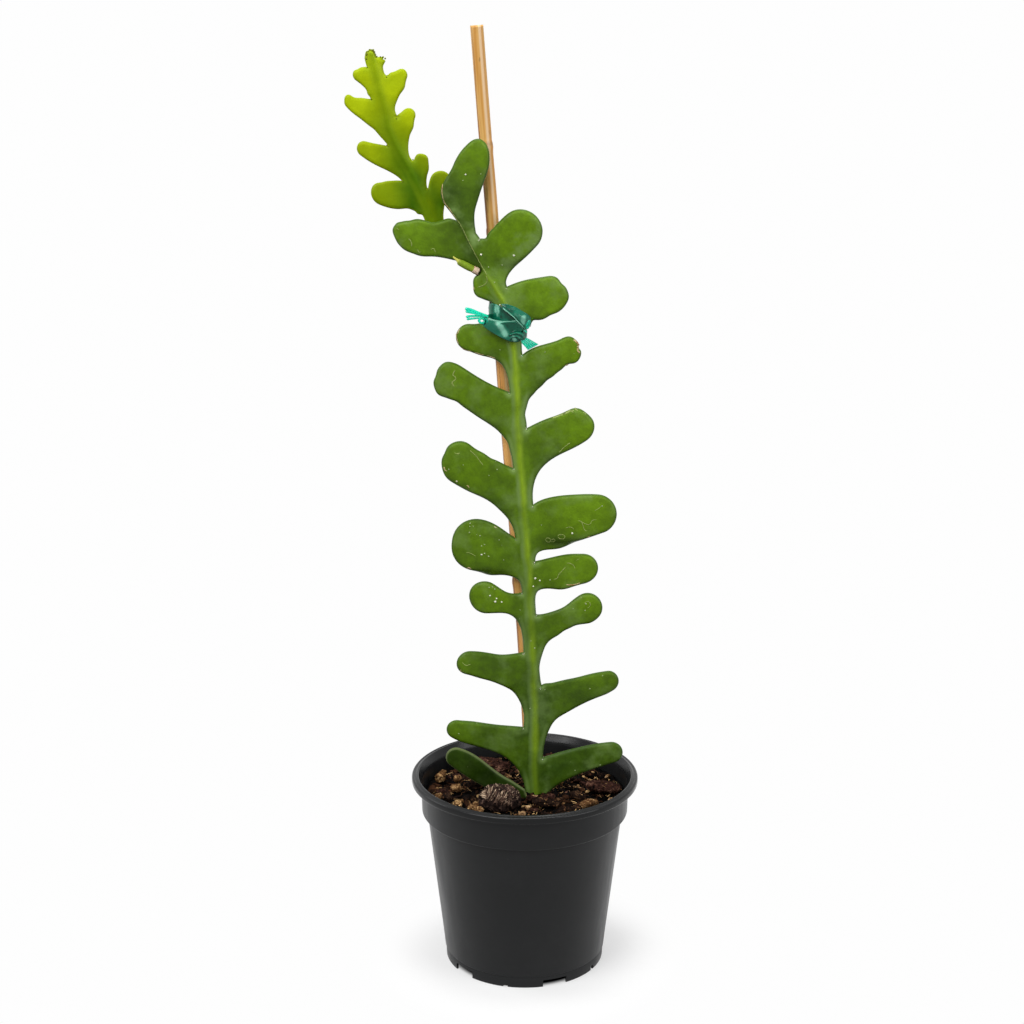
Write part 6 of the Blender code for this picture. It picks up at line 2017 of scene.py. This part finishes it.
def make_stub(groups):
    """The round stub of a removed shoot: a narrow neck and a smooth barrel, with a dried cut end."""
    young = stem_material(groups, *STEM_LOOKS[3])
    dry = corky_material(groups, "dried_cut", (236, 210, 182), (164, 98, 66))
    places = [(-36, 1.4, 377.5), (-35, 0.7, 376.8), (-33.9, 0.2, 376), (-33.1, 0, 375.4),
              (-32.3, -0.3, 374.8), (-29.2, -0.6, 373.2), (-27.2, -0.8, 372.2), (-25.5, -0.9, 371.4)]
    radii = [0.4, 0.55, 0.75, 1.2, 1.66, 1.82, 1.78, 1.7]
    route = curve_points(places, 5)
    rings = tube(route, curve_values(radii, 5), STUB_SIDES)
    shaped = []
    for k, ring in enumerate(rings):
        shaped.append([spot + (spot - route[k]) * 0.06 * noise(spot / 1.6) for spot in ring])
    heap = Heap()
    tone = [max(0.22, 1.0 - 0.12 * max(0, k - 13)) for k in range(len(route)) for _ in range(STUB_SIDES)]
    heap.add(*loft(shaped), edge=5.0, rib=20.0, tone=tone)
    new_piece("stub_barrel", heap, young, ["cut_stub"])
    make_cut_end(route[-1], (route[-1] - route[-2]).normalized(), dry)


def make_cut_end(end, along, dry):
    """The callus over the cut: a rough collar round a sunken middle."""
    across = along.orthogonal().normalized()
    up = along.cross(across)
    rings = []
    for radius, out in ((1.6, -0.7), (1.78, -0.45), (1.86, -0.1), (1.82, 0.4), (1.9, 0.9), (1.84, 1.4),
                        (1.9, 1.9), (1.82, 2.3), (1.6, 2.6), (1.2, 2.5), (0.7, 2.3), (0.3, 2.35)):
        ring = []
        for k in range(STUB_SIDES):
            cos, sin = circle(k, STUB_SIDES)
            outward = cos * across + sin * up
            rough = 1.0 + 0.13 * noise(outward * 2.6 + Vector((0, 0, 1.7 * out)))
            uneven = 0.22 * noise(outward * 1.8 + Vector((3, radius, 1)))
            ring.append(end + along * (out + uneven) + radius * rough * outward)
        rings.append(ring)
    cap = Heap()
    cap.add(*loft(rings))
    new_piece("stub_cut_end", cap, dry, ["cut_stub"])


# ---------------------------------------------------------------- stage, light and camera

CAMERA_PLACE = (-0.00678, -0.9435, 0.4929)
CAMERA_TILT = 90.0 - 14.61
CAMERA_LENS = 66.8
# Distances from the middle: where the lit floor fades into white, and where the painted shade under the pot
# ends
PAPER_FADE = (0.05, 0.088)
PAPER_PAINTED_SHADE = (0.0375, 0.0418)
PAPER_DIFFUSE = 0.5
PAPER_GLOW = 0.478
WHITE = 0.99
ROOM_LIGHT = 0.35
LIT_MIDDLE = (0.0, 0.0, 0.25)


def seen_white(name, diffuse, glow):
    """A pale material that shows near white to the camera, and still carries the shadow; under the pot it is
    painted dark as painted shade.
    """
    material, tree = new_material(name, Roughness=0.9, Specular_IOR_Level=0.0,
                                  Emission_Color=(1.0, 1.0, 1.0, 1.0))
    inputs = tree.nodes["Principled BSDF"].inputs
    place = object_coordinates(tree)
    reach = add(tree, "ShaderNodeVectorMath", {0: place}, operation="LENGTH").outputs["Value"]
    near = ramp(reach, PAPER_FADE[1], PAPER_FADE[0])
    # Painted shade: under the pot both the floor's colour and its glow are painted dark.
    lit = ramp(reach, *PAPER_PAINTED_SHADE)
    plug(grey(times(times(near, diffuse), lit)), inputs["Base Color"])
    glow = plus(glow, times(maths("SUBTRACT", 1.0, near), WHITE - glow))
    plug(times(seen_rays(tree), times(glow, lit)), inputs["Emission Strength"])
    return material


def make_stage():
    """A floor that curves up into a backdrop."""
    profile = [(y, 0.0) for y in (-2.5, -0.6, 0.6, 1.4)]
    for k in range(1, 13):
        angle = math.pi / 2 * k / 12
        profile.append((1.4 + 0.8 * math.sin(angle), 0.8 * (1.0 - math.cos(angle))))
    profile.append((2.2, 3.5))
    mesh = bpy.data.meshes.new("backdrop")
    points = [(x, y, z) for y, z in profile for x in (-3.0, 3.0)]
    faces = [(2 * k, 2 * k + 1, 2 * k + 3, 2 * k + 2) for k in range(len(profile) - 1)]
    mesh.from_pydata(points, [], faces)
    mesh.shade_smooth()
    mesh.materials.append(seen_white("studio_paper", PAPER_DIFFUSE, PAPER_GLOW))
    floor = placed("studio_floor", mesh)


def area_light(name, place, target, size, power):
    lamp = bpy.data.lights.new(name, "AREA")
    lamp.shape = "DISK"
    lamp.size = size
    lamp.energy = power
    item = placed(name, lamp)
    item.location = place
    item.rotation_euler = (Vector(target) - Vector(place)).to_track_quat("-Z", "Y").to_euler()


def make_lights():
    for name, place, size, power in (
            ("key", (-0.9, -1.0, 1.5), 1.3, 22.0), ("fill", (1.3, -0.8, 0.9), 1.2, 11.0),
            ("side", (-1.3, 0.4, 0.9), 0.8, 5.0), ("top", (0.1, 0.2, 1.9), 1.0, 16.0)):
        area_light(name, place, LIT_MIDDLE, size, power)
    world = bpy.data.worlds.new("studio")
    bpy.context.scene.world = world
    world.use_nodes = True
    tree = world.node_tree
    background = tree.nodes["Background"]
    background.inputs["Color"].default_value = (1.0, 1.0, 1.0, 1.0)
    strength = plus(times(seen_rays(tree), WHITE - ROOM_LIGHT), ROOM_LIGHT)
    plug(strength, background.inputs["Strength"])


def make_camera():
    lens = bpy.data.cameras.new("camera")
    lens.lens = CAMERA_LENS
    lens.sensor_width = 36.0
    lens.clip_start = 0.05
    camera = placed("camera", lens)
    camera.location = CAMERA_PLACE
    camera.rotation_euler = (math.radians(CAMERA_TILT), 0.0, 0.0)
    bpy.context.scene.camera = camera
    bpy.context.scene.view_settings.view_transform = "Standard"


make_camera()
make_stage()
make_lights()
groups = make_groups()
stems = make_stems(groups)
make_marks(groups, stems)
make_pot(groups)
make_cane(groups)
make_soil_body(groups)
mix_crumbs = crumb_material(groups, "mix_crumbs", (8, 5, 4), (84, 54, 36), (206, 168, 116))
make_crumbs(mix_crumbs)
make_loose_pieces(groups, mix_crumbs)
make_tie()
make_stub(groups)
